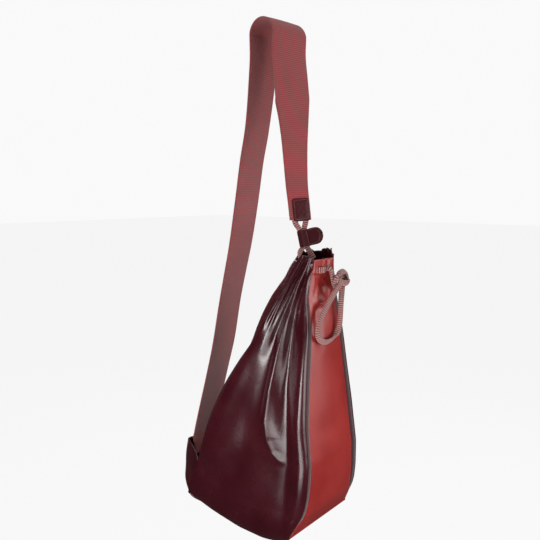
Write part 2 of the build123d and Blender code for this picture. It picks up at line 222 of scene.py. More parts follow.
def ribbed(name, red, grey, pitch, columns=0.0, rib=0.5, dark=0.55, rough=0.75):
    """Woven stripes across a strip: u is across and v along it, in millimetres. With columns, every other column is set
    back a little. The colour carries painted shade in the grooves between the ribs.
    """
    m, t, b = material(name)
    uv = node(t, "ShaderNodeUVMap", uv_map="lay")
    sep = t.nodes.new("ShaderNodeSeparateXYZ")
    t.links.new(uv.outputs[0], sep.inputs[0])
    u, v = sep.outputs[0], sep.outputs[1]
    pos = t.nodes.new("ShaderNodeTexCoord").outputs["Object"]
    wob = node(t, "ShaderNodeTexNoise", Scale=320.0, Detail=2.0)
    t.links.new(pos, wob.inputs["Vector"])
    v = math_node(t, "ADD", v, math_node(t, "MULTIPLY", math_node(t, "SUBTRACT", wob.outputs["Fac"], 0.5), pitch * 0.22))
    turns = math_node(t, "DIVIDE", v, pitch)
    if columns:
        cu = math_node(t, "DIVIDE", u, columns)
        odd = math_node(t, "FLOOR", math_node(t, "MULTIPLY", math_node(t, "FRACT", math_node(t, "MULTIPLY", cu, 0.5)), 2.0))
        turns = math_node(t, "ADD", turns, math_node(t, "MULTIPLY", odd, 0.16))
        across = math_node(t, "ABSOLUTE", math_node(t, "SINE", math_node(t, "MULTIPLY", cu, math.pi)))
    phase = math_node(t, "FRACT", turns)
    stripe = ramp(t, phase, [(0.0, (0, 0, 0)), (0.10, (1, 1, 1)), (0.44, (1, 1, 1)), (0.54, (0, 0, 0))])
    wave = math_node(t, "ABSOLUTE", math_node(t, "SINE", math_node(t, "MULTIPLY", turns, 2 * math.pi)))
    yarn = node(t, "ShaderNodeTexNoise", Scale=1500.0, Detail=3.0, Roughness=0.7)
    t.links.new(pos, yarn.inputs["Vector"])
    wide = node(t, "ShaderNodeTexNoise", Scale=30.0, Detail=3.0)
    t.links.new(pos, wide.inputs["Vector"])
    mix = node(t, "ShaderNodeMix", data_type="RGBA")
    mix.inputs[6].default_value = (*red, 1)
    mix.inputs[7].default_value = (*grey, 1)
    t.links.new(stripe, mix.inputs[0])
    # painted shade: the colour is multiplied down to `dark` at the bottom of each groove between ribs, where shade
    # would fall; yarn and wide noise add random tone
    low = math_node(t, "ADD", math_node(t, "MULTIPLY", wave, 1.0 - dark), dark)
    low = math_node(t, "MULTIPLY", low, math_node(t, "ADD", math_node(t, "MULTIPLY", yarn.outputs["Fac"], 0.5), 0.75))
    low = math_node(t, "MULTIPLY", low, math_node(t, "ADD", math_node(t, "MULTIPLY", wide.outputs["Fac"], 0.35), 0.82))
    shade = node(t, "ShaderNodeMix", data_type="RGBA", blend_type="MULTIPLY")
    shade.inputs[0].default_value = 1.0
    t.links.new(mix.outputs[2], shade.inputs[6])
    gap_shade_rgb = t.nodes.new("ShaderNodeCombineColor")
    for i in range(3):
        t.links.new(low, gap_shade_rgb.inputs[i])
    t.links.new(gap_shade_rgb.outputs[0], shade.inputs[7])
    t.links.new(shade.outputs[2], b.inputs["Base Color"])
    b.inputs["Roughness"].default_value = rough
    b.inputs["Specular IOR Level"].default_value = 0.3
    b.inputs["Sheen Weight"].default_value = 0.25
    b.inputs["Sheen Roughness"].default_value = 0.5
    h = math_node(t, "MULTIPLY", wave, 1.0)
    if columns:
        h = math_node(t, "MULTIPLY", h, math_node(t, "ADD", math_node(t, "MULTIPLY", across, 0.6), 0.4))
    h = math_node(t, "ADD", h, math_node(t, "MULTIPLY", yarn.outputs["Fac"], 0.35))
    bump = node(t, "ShaderNodeBump", Strength=rib, Distance=0.0005)
    t.links.new(h, bump.inputs["Height"])
    t.links.new(bump.outputs[0], b.inputs["Normal"])
    return m


def cloth(name, dark, light, thread_mm=0.5, rough=0.85):
    m, t, b = material(name)
    pos = t.nodes.new("ShaderNodeTexCoord").outputs["Object"]
    sep = t.nodes.new("ShaderNodeSeparateXYZ")
    t.links.new(pos, sep.inputs[0])
    k = 2 * math.pi / (thread_mm / 1000.0)
    a = math_node(t, "SINE", math_node(t, "MULTIPLY", math_node(t, "ADD", sep.outputs[0], sep.outputs[1]), k))
    c = math_node(t, "SINE", math_node(t, "MULTIPLY", sep.outputs[2], k))
    weave = math_node(t, "MULTIPLY", math_node(t, "ADD", math_node(t, "MULTIPLY", a, c), 1.0), 0.5)
    noise = node(t, "ShaderNodeTexNoise", Scale=400.0, Detail=4.0)
    t.links.new(pos, noise.inputs["Vector"])
    fac = math_node(t, "ADD", math_node(t, "MULTIPLY", weave, 0.5), math_node(t, "MULTIPLY", noise.outputs["Fac"], 0.5))
    t.links.new(ramp(t, fac, [(0.2, dark), (0.8, light)]), b.inputs["Base Color"])
    b.inputs["Roughness"].default_value = rough
    b.inputs["Sheen Weight"].default_value = 0.3
    bump = node(t, "ShaderNodeBump", Strength=0.4, Distance=0.0002)
    t.links.new(fac, bump.inputs["Height"])
    t.links.new(bump.outputs[0], b.inputs["Normal"])
    return m


BURGUNDY = leather("burgundy_leather", (0.028, 0.0014, 0.0040), (0.040, 0.0026, 0.0062), rough=(0.22, 0.30), grain=0.42, coat=0.20, coat_rough=0.18, wrinkle=1.0)
BURGUNDY_SOFT = leather("burgundy_small_leather", (0.030, 0.0014, 0.0036), (0.046, 0.0026, 0.0056), rough=(0.40, 0.50), grain=0.35, coat=0.0, coat_rough=0.25, wrinkle=1.0, spec=0.22)
BURGUNDY_EDGE = leather("burgundy_cut_edge", (0.050, 0.010, 0.012), (0.090, 0.026, 0.028), rough=(0.4, 0.6), grain=0.2, coat=0.0)
WELT = leather("burgundy_welt", (0.030, 0.004, 0.006), (0.050, 0.010, 0.012), rough=(0.5, 0.6), grain=0.2, coat=0.0)
RED = leather("red_leather", (0.215, 0.0105, 0.0085), (0.275, 0.0160, 0.0125), rough=(0.33, 0.42), grain=0.35, grain_mm=1.0, coat=0.12, coat_rough=0.2, wrinkle=1.2)
RED_EDGE = leather("red_cut_edge", (0.18, 0.016, 0.014), (0.26, 0.035, 0.03), rough=(0.4, 0.6), grain=0.2, coat=0.0)
# both woven materials carry painted shade in their rib grooves; dark sets how deep it goes
WEBBING = ribbed("strap_webbing", (0.30, 0.009, 0.020), (0.215, 0.070, 0.060), 2.15, rib=0.55)
CORD = ribbed("braided_cord", (0.22, 0.008, 0.018), (0.44, 0.29, 0.25), 2.45, columns=1.45, rib=0.8, dark=0.25)
THREAD = cloth("thread", (0.10, 0.02, 0.025), (0.20, 0.07, 0.07), thread_mm=0.4, rough=0.6)
LINING = cloth("lining_cloth", (0.022, 0.003, 0.005), (0.045, 0.008, 0.011), thread_mm=0.7)
BOARD = cloth("stiffener_board", (0.30, 0.22, 0.15), (0.42, 0.33, 0.24), thread_mm=1.3)


def finish_piece(o, body, mats, nodes=()):
    for m in mats:
        if m.name not in [x.name for x in o.data.materials if x]:
            o.data.materials.append(m)
    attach(o, body)
    if nodes:
        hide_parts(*nodes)
    return o


# ------------------------------------------------------------------ outline of the leather body
# height, X, half width
BACK_EDGE = np.array([
    (0, -82, 60), (12, -78, 60), (26, -72.5, 60), (58, -60, 60), (85, -51, 59.3), (112, -41.6, 58), (152, -22.7, 54), (188, 0, 50),
    (215, 19, 46.5), (245, 34.5, 41.5), (280, 51, 32), (300, 60, 25), (313, 66, 20.5), (322, 69, 18)], float)
FRONT_EDGE = np.array([
    (0, 82.5, 58.2), (7.5, 86.2, 56.3), (15, 89.9, 54.0), (24.7, 94.4, 49.6), (39, 97.5, 47), (60.4, 99.6, 45.1), (81.7, 99.8, 44.2),
    (97.6, 98.2, 43.7), (121.8, 95.3, 42.6), (161.6, 92.6, 38.4), (201.8, 90.3, 33.2), (229.5, 88.5, 30.0), (252.3, 85.2, 28.0),
    (271.7, 83.0, 27.2), (287.1, 83.2, 24.7), (299.3, 84.6, 21.2), (310.2, 85.8, 19.4), (322, 86.5, 19.0)], float)


def edge(table, z):
    return pchip(table[:, 0], table[:, 1], z), pchip(table[:, 0], table[:, 2], z)


SAG = np.array([(0, 0), (0.04, 4.0), (0.10, 7.6), (0.22, 12.0), (0.38, 15.6), (0.54, 18.2), (0.70, 18.2), (0.84, 15.2), (0.94, 9.6), (1.0, 3.0)])


def sag(s):
    """How far the base hangs below the line between its back and front edges."""
    return pchip(SAG[:, 0], SAG[:, 1], s)


def line_feature(X, Z, pts):
    """A fold along a line on the panel: points are (X, Z, height, width on the back side, width on the front side), all in mm."""
    pts = np.asarray(pts, float)
    best = np.full(X.shape, 1e9)
    out = np.zeros(X.shape)
    for a, b in zip(pts, pts[1:]):
        dx, dz = b[0] - a[0], b[1] - a[1]
        n2 = dx * dx + dz * dz
        t = np.clip(((X - a[0]) * dx + (Z - a[1]) * dz) / n2, 0, 1)
        px, pz = X - a[0] - t * dx, Z - a[1] - t * dz
        d = np.hypot(px, pz)
        side = (dx * pz - dz * px) * (1 if dz < 0 else -1)      # > 0 on the front side
        amp = a[2] + (b[2] - a[2]) * t
        wb, wf = a[3] + (b[3] - a[3]) * t, a[4] + (b[4] - a[4]) * t
        w = np.where(side > 0, wf, wb)
        val = amp * np.exp(-0.5 * (d / w) ** 2)
        near = d < best
        out = np.where(near, val, out)
        best = np.minimum(best, d)
    return out


def bump2(X, Z, x, z, rx, rz, h, turn=0.0):
    c, s = math.cos(turn), math.sin(turn)
    u, v = (X - x) * c + (Z - z) * s, -(X - x) * s + (Z - z) * c
    return h * np.exp(-0.5 * ((u / rx) ** 2 + (v / rz) ** 2))


# folds of the near side, from the mouth down: X, Z, height, width towards the back, width towards the front
FOLDS_NEAR = [
    [(73.9, 318, 3.0, 0.8, 0.8), (61.5, 289, 4.2, 1.1, 0.9), (49.2, 264, 5.0, 1.8, 1.2), (37.8, 243, 4.0, 3.2, 2.0), (25.6, 218, 1.4, 6.0, 4.6), (8.0, 183, 1.7, 10, 6.5), (-8.0, 150, 2.2, 12, 7.0), (-23.5, 118, 1.6, 14, 8), (-34, 92, 0.0, 14, 12)],
    [(76.7, 318, 3.2, 0.8, 0.8), (68.8, 298, 4.2, 0.9, 0.8), (60.9, 281, 4.8, 1.2, 1.0), (54.1, 265, 5.0, 1.5, 1.2), (43.0, 239, 3.0, 2.8, 2.0), (30.8, 210, 1.2, 4.5, 3.6), (15.6, 176, 0.0, 8, 7)],
    [(79.0, 318, 3.0, 0.8, 0.7), (70.5, 294, 4.2, 1.0, 0.8), (62.2, 273, 4.8, 1.3, 1.0), (52.9, 250, 4.0, 1.9, 1.4), (43.2, 225, 2.2, 3.0, 2.1), (33.7, 198, 0.0, 5, 4)],
    [(81.9, 318, 3.0, 0.8, 0.9), (75.6, 296, 4.6, 1.1, 1.2), (70.4, 277, 6.2, 1.5, 1.8), (68.6, 267, 6.8, 1.8, 2.0), (63.2, 244, 7.8, 2.8, 2.8), (58.6, 218, 8.4, 4.0, 4.2), (56.2, 205, 8.8, 4.4, 5.6), (50.0, 163, 9.2, 5.2, 9.0), (46.6, 127, 8.4, 6.4, 12.0), (46.6, 108, 5.4, 8.0, 13.0), (48.0, 92, 2.2, 10.0, 13.0), (50.0, 76, 0.0, 11.0, 13.0)],
    # the narrow line along the big fold's crest and round its foot
    [(70.4, 277, 0.0, 1.4, 1.6), (63.4, 244, 0.9, 1.5, 1.7), (57.0, 205, 1.2, 1.7, 2.0), (50.8, 163, 1.3, 1.9, 2.2), (47.4, 127, 1.5, 2.2, 2.6), (48.6, 104, 1.7, 2.6, 2.8), (53.5, 90, 1.7, 2.8, 3.0), (61.5, 82, 1.3, 3.0, 3.0), (70.0, 78.5, 0.0, 3.0, 3.0)],
    # valleys
    [(78.0, 318, -1.6, 1.2, 1.2), (66.0, 282, -2.4, 1.8, 1.6), (55.0, 252, -3.4, 3.0, 2.4), (47.0, 226, -3.0, 5.0, 3.6), (41.0, 187, -1.6, 7.0, 5.0), (37.0, 151, -1.0, 8.0, 6.0), (34.5, 114, -0.6, 9.0, 7.5), (35, 92, 0.0, 10, 9)],
    [(82.6, 302, -2.0, 1.4, 1.4), (76.2, 283, -3.2, 2.0, 1.8), (67.9, 254, -4.6, 3.2, 2.8), (64.8, 199, -4.6, 4.6, 4.0), (64.7, 167, -4.0, 5.2, 4.8), (69.3, 124, -3.0, 5.5, 5.0), (72.3, 79, -1.8, 5.5, 4.5), (73.5, 40, -1.0, 6, 5), (77.6, 5, -0.4, 6, 5)],
    # the roll beside the front seam
    [(84.0, 290, 0.6, 2.5, 2.5), (80.5, 250, 1.2, 4.0, 4.5), (81.5, 205, 2.0, 5.5, 6.5), (84.5, 160, 2.4, 6.5, 7.0), (88.0, 120, 2.8, 7.0, 6.0), (91.5, 75, 2.8, 7.5, 6.0), (90.5, 40, 2.2, 8, 7), (88, 12, 1.0, 8, 7)],
    # the thin pleat between the big fold and the roll
    [(82.1, 296, 1.0, 1.4, 1.3), (77.0, 278, 1.6, 1.8, 1.5), (72.6, 256, 1.8, 2.2, 1.8), (70.2, 223, 1.2, 2.6, 2.2), (69, 190, 0.0, 3, 3)],
    # the crease under the slack lower back corner
    [(-62, 78, 0.0, 5, 5), (-57, 52, -1.6, 5.5, 5.5), (-48, 39, -2.4, 6.5, 6.5), (-26.7, 36, -2.6, 8, 8), (-4, 52, -2.4, 8, 8), (9, 80, -2.0, 8, 8), (17, 112, -1.4, 8, 8), (24, 150, 0.0, 9, 9)],
]
FOLDS_FAR = [
    [(68.6, 326, 3.4, 2.3, 2.1), (66.5, 312, 3.6, 2.4, 2.2), (56.0, 288, 4.0, 2.8, 2.4), (45.0, 262, 4.4, 3.6, 2.8), (32.0, 234, 4.0, 5.5, 4.0), (10.0, 188, 2.6, 9, 7), (-14, 140, 0.0, 13, 11)],
    [(74.6, 326, 3.6, 2.0, 2.0), (73.0, 312, 3.8, 2.1, 2.0), (65.5, 288, 4.2, 2.4, 2.2), (56.0, 262, 4.4, 3.0, 2.4), (45.0, 236, 3.6, 4.0, 3.0), (30.0, 200, 1.8, 6, 5), (18, 172, 0.0, 8, 7)],
    [(80.4, 326, 3.2, 1.9, 1.9), (79.0, 312, 3.4, 2.0, 1.9), (73.0, 288, 4.6, 2.3, 2.1), (64.5, 262, 5.8, 3.0, 2.6), (54.0, 234, 6.6, 4.4, 3.4), (44.0, 196, 6.6, 6.0, 4.4), (36.0, 150, 5.2, 7.0, 5.5), (38.0, 108, 3.6, 8.0, 7.0), (50, 88, 1.4, 9, 9), (62, 84, 0, 9, 9)],
    [(62.0, 240, 0.0, 6, 5), (57.0, 200, 4.2, 9, 7), (56.0, 150, 5.6, 12, 9), (58.0, 105, 3.8, 13, 10), (58.0, 70, 0.8, 13, 12)],
    [(71.8, 326, -1.8, 1.4, 1.4), (69.8, 312, -2.0, 1.4, 1.4), (61.0, 288, -2.4, 1.9, 1.8), (46.0, 250, -3.6, 3.6, 3.0), (30.0, 205, -4.2, 7.0, 5.0), (24.0, 150, -3.6, 9, 7), (26, 108, -1.6, 10, 9), (32, 80, 0, 10, 9)],
    [(77.6, 326, -1.8, 1.3, 1.3), (76.2, 312, -2.0, 1.3, 1.3), (69.5, 288, -2.4, 1.7, 1.7), (60.0, 260, -2.2, 2.2, 2.0), (51, 238, -1.0, 3, 3), (44, 220, 0, 3, 3)],
    [(83.4, 322, -1.4, 1.4, 1.4), (80.0, 292, -2.6, 1.9, 1.8), (72.5, 260, -3.8, 3.0, 2.6), (67.0, 215, -4.2, 4.6, 4.2), (67.0, 170, -4.0, 5.4, 5.0), (71, 120, -3.0, 5.6, 5.2), (74, 70, -1.4, 6, 5), (77, 10, -0.3, 6, 5)],
    [(-60, 84, 0.0, 5, 5), (-50, 50, -1.8, 7, 7), (-24, 38, -2.2, 8, 8), (4, 60, -1.8, 8, 8), (18, 110, -1.0, 9, 9), (26, 150, 0.0, 9, 9)],
]
BUMPS_NEAR = [
    (-31.0, 70.0, 16.0, 22.0, 4.6, -0.55), (10.0, 146.0, 15.0, 44.0, 0.6, -0.42), (-14, 108, 17, 30, 1.6, -0.6),
    (18.0, 30.0, 36.0, 13.0, 2.2, 0.10), (58.0, 34.0, 14.0, 16.0, 1.4, 0.0), (-42, 14, 26, 8, 0.8, 0.1),
]


def side_surface(n, m, sign, top, inset=0.0, fold=1.0, shift=0.0, top_lobes=1.0, low=None, high=None):
    """The side panel as a grid: rows go up, columns go from the back edge to the front seam. sign is -1 for the near side."""
    v = np.linspace(0, 1, n)
    s = np.linspace(0, 1, m)
    s = s + 0.035 * np.sin(2 * np.pi * s) * -1.0            # closer columns beside the two edges
    V, S = np.meshgrid(v, s, indexing="ij")
    if sign < 0:
        tip = top - 1.0 * np.sin(S * 27.0 + 1.1) * (1 - smooth(0.82, 1.0, S)) - 3.2 * smooth(0.7, 1.0, S)
    else:                                                # rounded petals between the pleats
        tip = top + 1.0 + top_lobes * 2.2 * (np.abs(np.sin((S * 3.2 + 0.10) * np.pi)) ** 0.5 - 0.62) - 6.0 * smooth(0.70, 1.0, S) - 3.0 * (1 - smooth(0.0, 0.25, S))
    foot = -sag(S)
    if low is not None:
        foot = foot * 0 + low
    turned = 1.0 if low is None else 0.0
    if high is not None:
        tip = tip * 0 + high
    Z = foot + V ** 0.95 * (tip - foot)
    xb, yb = edge(BACK_EDGE, Z)
    xf, yf = edge(FRONT_EDGE, Z)
    X = xb + (xf - xb) * S
    Y = yb + (yf - yb) * S
    D = np.zeros(X.shape)
    for f in (FOLDS_NEAR if sign < 0 else FOLDS_FAR):
        D += line_feature(X, Z, f)
    for b in BUMPS_NEAR:
        D += bump2(X, Z, b[0] + shift * 4.0, b[1], b[2], b[3], b[4], b[5])
    hold = smooth(0.0, 0.035, S) * smooth(0.0, 0.07, 1 - S)
    D *= hold * fold
    # the roll that the leather makes beside the front seam
    d = np.maximum(xf - X, 0)
    amp = pchip([-20, 4, 30, 75, 120, 170, 215, 255, 280, 322], [0, 2.6, 6.6, 8.0, 7.4, 6.4, 5.0, 3.2, 1.7, 0.6], Z)
    w = pchip([-20, 30, 120, 200, 260, 322], [7.0, 6.6, 6.2, 5.4, 4.0, 2.5], Z)
    D += amp * (d / w) * np.exp(1 - d / w) * (1 + 0.12 * np.sin(Z * 0.045 + shift * 3))
    # the belly of a filled bag
    D += 3.0 * np.clip(np.sin(np.pi * S), 0, 1) ** 0.8 * np.sin(np.pi * np.clip(Z / 250.0, 0, 1)) ** 0.8 * fold
    # a little unevenness
    D += 0.35 * np.sin(X * 0.11 + 1.3) * np.sin(Z * 0.083 + 0.4) * hold
    # the lower edge turns under
    t = np.clip((Z + sag(S)) / 13.0, 0, 1)
    D -= turned * 6.0 * (1 - np.sqrt(np.clip(1 - (1 - t) ** 2, 0, 1))) * smooth(0.0, 0.12, S) * (1 - 0.75 * smooth(0.93, 1.0, S))
    Y = Y + D - inset
    # the folds lean a little towards the front
    X = X + 0.25 * np.clip(D, -3, 6) * smooth(120, 230, Z) * hold
    # the roll stands out over the seam
    X = X + 0.55 * amp * (d / 3.5) * np.exp(1 - d / 3.5) * smooth(0, 40, Z)
    return np.stack([X, sign * Y, Z], -1)


def panel(name, P, sign, thick, mats, body, nodes, rim=1):
    n, m = P.shape[:2]
    o = new_object(name, WA(P.reshape(-1, 3)), grid_faces(n, m, flip=(sign > 0)))
    for k in mats:
        o.data.materials.append(k)
    thicken(o, thick, rim=rim)
    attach(o, body)
    if nodes:
        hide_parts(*nodes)
    return o


Q = 1.0
NEAR = side_surface(int(250 * Q), int(190 * Q), -1, 314.0)
near = panel("side_panel_near_leather", NEAR, -1, 1.6, [BURGUNDY, BURGUNDY_EDGE], "root", ["side_panel_near"])
FAR = side_surface(int(250 * Q), int(190 * Q), 1, 319.0, shift=0.6, fold=0.85, top_lobes=1.5)
far = panel("side_panel_far_leather", FAR, 1, 1.6, [BURGUNDY, BURGUNDY_EDGE], "root", ["side_panel_far"])


# ------------------------------------------------------------------ red front gusset
# Y, Z, height, width to the near side, width to the far side
FOLDS_FRONT = [
    [(-21, 293.6, -1.3, 1.3, 1.1), (-10, 293.4, -1.5, 1.3, 1.1), (2, 291.0, -1.6, 1.4, 1.2), (11.5, 285.5, -1.4, 1.6, 1.5), (17, 277.5, -0.8, 2, 2), (20, 268, 0, 2, 2)],
    [(-19.5, 306, 1.2, 1.4, 1.8), (-17.5, 296, 1.6, 1.5, 2.0), (-17.5, 284, 1.2, 2.0, 2.6), (-19, 272, 0.2, 2.5, 3)],
    [(-1.5, 311, 1.0, 1.6, 1.6), (-1.0, 302, 0.9, 1.8, 1.8), (-0.5, 295, 0.0, 2, 2)],
    [(6.5, 311, -1.3, 1.4, 1.4), (7.0, 302, -1.6, 1.5, 1.5), (7.5, 295, -0.6, 2, 2)],
    [(12.5, 311, 1.2, 1.6, 1.8), (12.0, 303, 1.0, 1.8, 2.0), (11.5, 296, 0.0, 2, 2)],
    [(-25, 268, 0.4, 3.0, 3.0), (-16, 264.0, 1.4, 3.2, 3.0), (-8, 261.5, 2.2, 3.4, 3.2), (3, 261.0, 2.4, 3.4, 3.4), (10, 264.0, 2.0, 3.2, 3.2), (17, 272, 0.6, 3, 3)],
    [(-10, 257, -0.4, 3, 3), (-15.5, 252, -1.8, 3.0, 3.6), (-17.5, 243, -2.2, 3.2, 4.4), (-16.5, 228, -1.8, 3.6, 5.0), (-13.5, 214, -0.6, 5, 6), (-11, 204, 0.0, 6, 6)],
    [(-12, 284, 0.6, 2.5, 3), (-10.5, 276, 1.2, 2.5, 3.5), (-12, 268, 0.8, 3, 3)],
]
BUMPS_FRONT = [(5.0, 276.0, 7.5, 8.5, -4.4, -0.25), (-3.0, 283.0, 5.0, 5.0, -1.6, 0.0), (9.0, 247.0, 8.0, 12.0, 1.2, 0.2), (-24.0, 246.0, 4.0, 14.0, 1.0, 0.0), (-6, 150, 14, 60, 0.8, 0.0)]


def front_surface(n, m, inset=0.0, low=-2.6, high=310.5):
    v = np.linspace(0, 1, n)
    c = np.linspace(-1, 1, m)
    V, C = np.meshgrid(v, c, indexing="ij")
    Z = low + V * (high - low)
    x, h = edge(FRONT_EDGE, Z)
    h = h - 0.6 - inset
    Y = C * h
    # a soft crown across the width
    crown = 1 - np.abs(C) ** 2.4
    Y = C * (h + inset)
    D = crown * (1.6 + 2.6 * np.sin(np.pi * np.clip(Z / 230.0, 0, 1)))
    # the hem's lower edge, which droops to the right, and the crumple that the cord's pull makes below it
    for f in FOLDS_FRONT:
        D += line_feature(Y, Z, f) * crown ** 0.5
    for b in BUMPS_FRONT:
        D += bump2(Y, Z, *b) * crown ** 0.5
    D += 0.5 * np.sin(Z * 0.055 + 0.6) * crown
    X = x + D * smooth(0, 8, Z) - inset
    Y = C * h
    return np.stack([X, Y, Z], -1)


FRONT = front_surface(int(260 * Q), int(90 * Q))
front = panel("front_gusset_leather", FRONT, -1, 1.6, [RED, RED_EDGE], "root", ["front_gusset"])


# ------------------------------------------------------------------ back gusset
def back_surface(n, m, inset=0.0, low=0.0, high=None):
    v = np.linspace(0, 1, n)
    c = np.linspace(-1, 1, m)
    V, C = np.meshgrid(v, c, indexing="ij")
    tip = 307.5 + 1.2 * np.cos(C * 9.5 + 0.3) + smooth(-0.15, 0.2, C) * (8.8 + 2.6 * np.abs(np.sin(C * 7.0 + 0.9)) ** 0.6) if high is None else high + 0 * C
    Z = low + V * (tip - low)
    x, h = edge(BACK_EDGE, Z)
    h = h - 1.2 - inset
    Y = C * h
    crown = np.clip(1 - np.abs(C) ** 2.2, 0, 1)
    # the gathered top stands out from the two seams in soft lobes
    D = crown * pchip([-20, 0, 60, 130, 165, 185, 200, 212, 225, 245, 262, 278, 290, 304, 320], [0, 0, 0.6, 1.6, 5.6, 13.0, 20.0, 25.0, 28.5, 29.6, 29.2, 24.8, 20.8, 20.6, 20.0], Z)
    D += smooth(235, 300, Z) * crown * 2.4 * np.cos(C * 9.5 + 0.3)
    D += 0.8 * np.sin(Z * 0.06) * crown
    # the rim turns in over the mouth
    D -= 2.6 * np.clip((Z - 300.0) / 10.0, 0, 1) ** 2 * crown
    # it lies back by a seam's width from the raw edges of the sides
    X = x + 2.6 - D + inset
    return np.stack([X, Y, Z], -1)


BACK = back_surface(int(200 * Q), int(100 * Q))
back = panel("back_gusset_leather", BACK, 1, 1.6, [BURGUNDY, BURGUNDY_EDGE], "root", ["back_gusset"])

# ------------------------------------------------------------------ base, lining and facing
def base_surface(n, m, up=0.0, narrow=0.0):
    s = np.linspace(0, 1, n)
    c = np.linspace(-1, 1, m)
    S, C = np.meshgrid(s, c, indexing="ij")
    xb, yb = edge(BACK_EDGE, 0 * S)
    xf, yf = edge(FRONT_EDGE, 0 * S)
    X = xb + 2.0 + narrow + (xf - xb - 4.2 - 2 * narrow) * S
    half = (yb + (yf - yb) * S) - 6.0 * smooth(0.0, 0.12, S) * (1 - 0.6 * smooth(0.93, 1.0, S)) + 0.2 - narrow
    Z = -sag(S) - 1.2 * (1 - C ** 2) * np.sin(np.pi * S) + 0.25 + up + 1.2 * (1 - smooth(0, 0.05, S)) + 1.2 * smooth(0.95, 1.0, S)
    return np.stack([X, C * half, Z], -1)


BASE = base_surface(int(90 * Q), int(60 * Q))
base = new_object("base_leather", WA(BASE.reshape(-1, 3)), grid_faces(*BASE.shape[:2], flip=True))
for k in (BURGUNDY, BURGUNDY_EDGE):
    base.data.materials.append(k)
thicken(base, 1.6, rim=0)
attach(base, "root")
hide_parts("base_panel")

BD = base_surface(60, 40, up=2.2, narrow=5.0)
board = new_object("base_board_sheet", WA(BD.reshape(-1, 3)), grid_faces(*BD.shape[:2], flip=True))
board.data.materials.append(BOARD)
thicken(board, 1.6, rim=0)
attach(board, "root")
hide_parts("base_board")


def inner_shell(name, low, high, inset, mats, nodes, n):
    """The four inner walls between two heights, in one piece."""
    parts = []
    parts.append((side_surface(n, 90, -1, 314.0, inset=inset, low=low, high=high), False))
    parts.append((side_surface(n, 90, 1, 319.0, inset=inset, shift=0.6, fold=0.85, top_lobes=1.5, low=low, high=high), True))
    f = front_surface(n, 60, inset=inset, low=low, high=high)
    b = back_surface(n, 60, inset=inset, low=low, high=min(high, 304.0))
    parts += [(f, False), (b, True)]
    verts, faces = [], []
    for P, flip in parts:
        faces += grid_faces(*P.shape[:2], flip=flip, base=len(verts))
        verts += list(WA(P.reshape(-1, 3)))
    o = new_object(name, verts, faces)
    for k in mats:
        o.data.materials.append(k)
    m = o.modifiers.new("thick", "SOLIDIFY")
    m.thickness = 0.0007
    m.offset = 0.0
    apply_modifiers(o)
    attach(o, "root")
    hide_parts(*nodes)
    return o


lining = inner_shell("lining_cloth_bag", 1.5, 281.0, 2.6, [LINING], ["lining"], 80)
facing = inner_shell("mouth_facing_band", 281.0, 309.0, 2.3, [BURGUNDY], ["mouth_facing"], 40)


# ------------------------------------------------------------------ strap
#        X, z, turn of the width about the vertical (degrees)
STRAP = np.array([
    (-105.2, 34, -6), (-108.6, 45, -6), (-110.7, 55, -6), (-108.5, 66, -7), (-100.3, 98, -9), (-87.4, 142, -10), (-73.3, 190, -9.5), (-60.7, 247, -10.5),
    (-51.4, 283, -10), (-41.9, 319, -9), (-30.4, 375, -8), (-21.8, 423, -8), (-13.8, 458, -7.5), (-6.5, 508, -4), (-3.0, 545, -1)], float)
bend_a = np.radians(np.array([168, 150, 132, 114, 96, 78, 60, 42, 24, 8]))
BEND = np.stack([16 + 19.6 * np.cos(bend_a), 559.3 + 19.6 * np.sin(bend_a), np.linspace(0, 10, len(bend_a))], -1)
DOWN = np.array([(34.6, 545, 10.5), (38.2, 510, 11), (40.6, 482, 13.5), (42.4, 452, 19), (43.6, 431, 23.5), (46.4, 393, 27.5), (49.6, 371, 28), (52.0, 353.0, 28)], float)
ROUTE = np.concatenate([STRAP, BEND, DOWN])
seg = np.r_[0, np.cumsum(np.hypot(np.diff(ROUTE[:, 0]), np.diff(ROUTE[:, 1])))]
STRAP_LEN = float(seg[-1])
ns = int(620 * Q)
along = np.linspace(0, STRAP_LEN, ns)
cx, cz = pchip(seg, ROUTE[:, 0], along), pchip(seg, ROUTE[:, 1], along)
turn = np.radians(pchip(seg, ROUTE[:, 2], along))
for _ in range(6):                                        # ease the polyline's corners
    cx[1:-1] = (cx[:-2] + 2 * cx[1:-1] + cx[2:]) / 4
    cz[1:-1] = (cz[:-2] + 2 * cz[1:-1] + cz[2:]) / 4
top_at = seg[len(STRAP) + len(BEND) // 2]
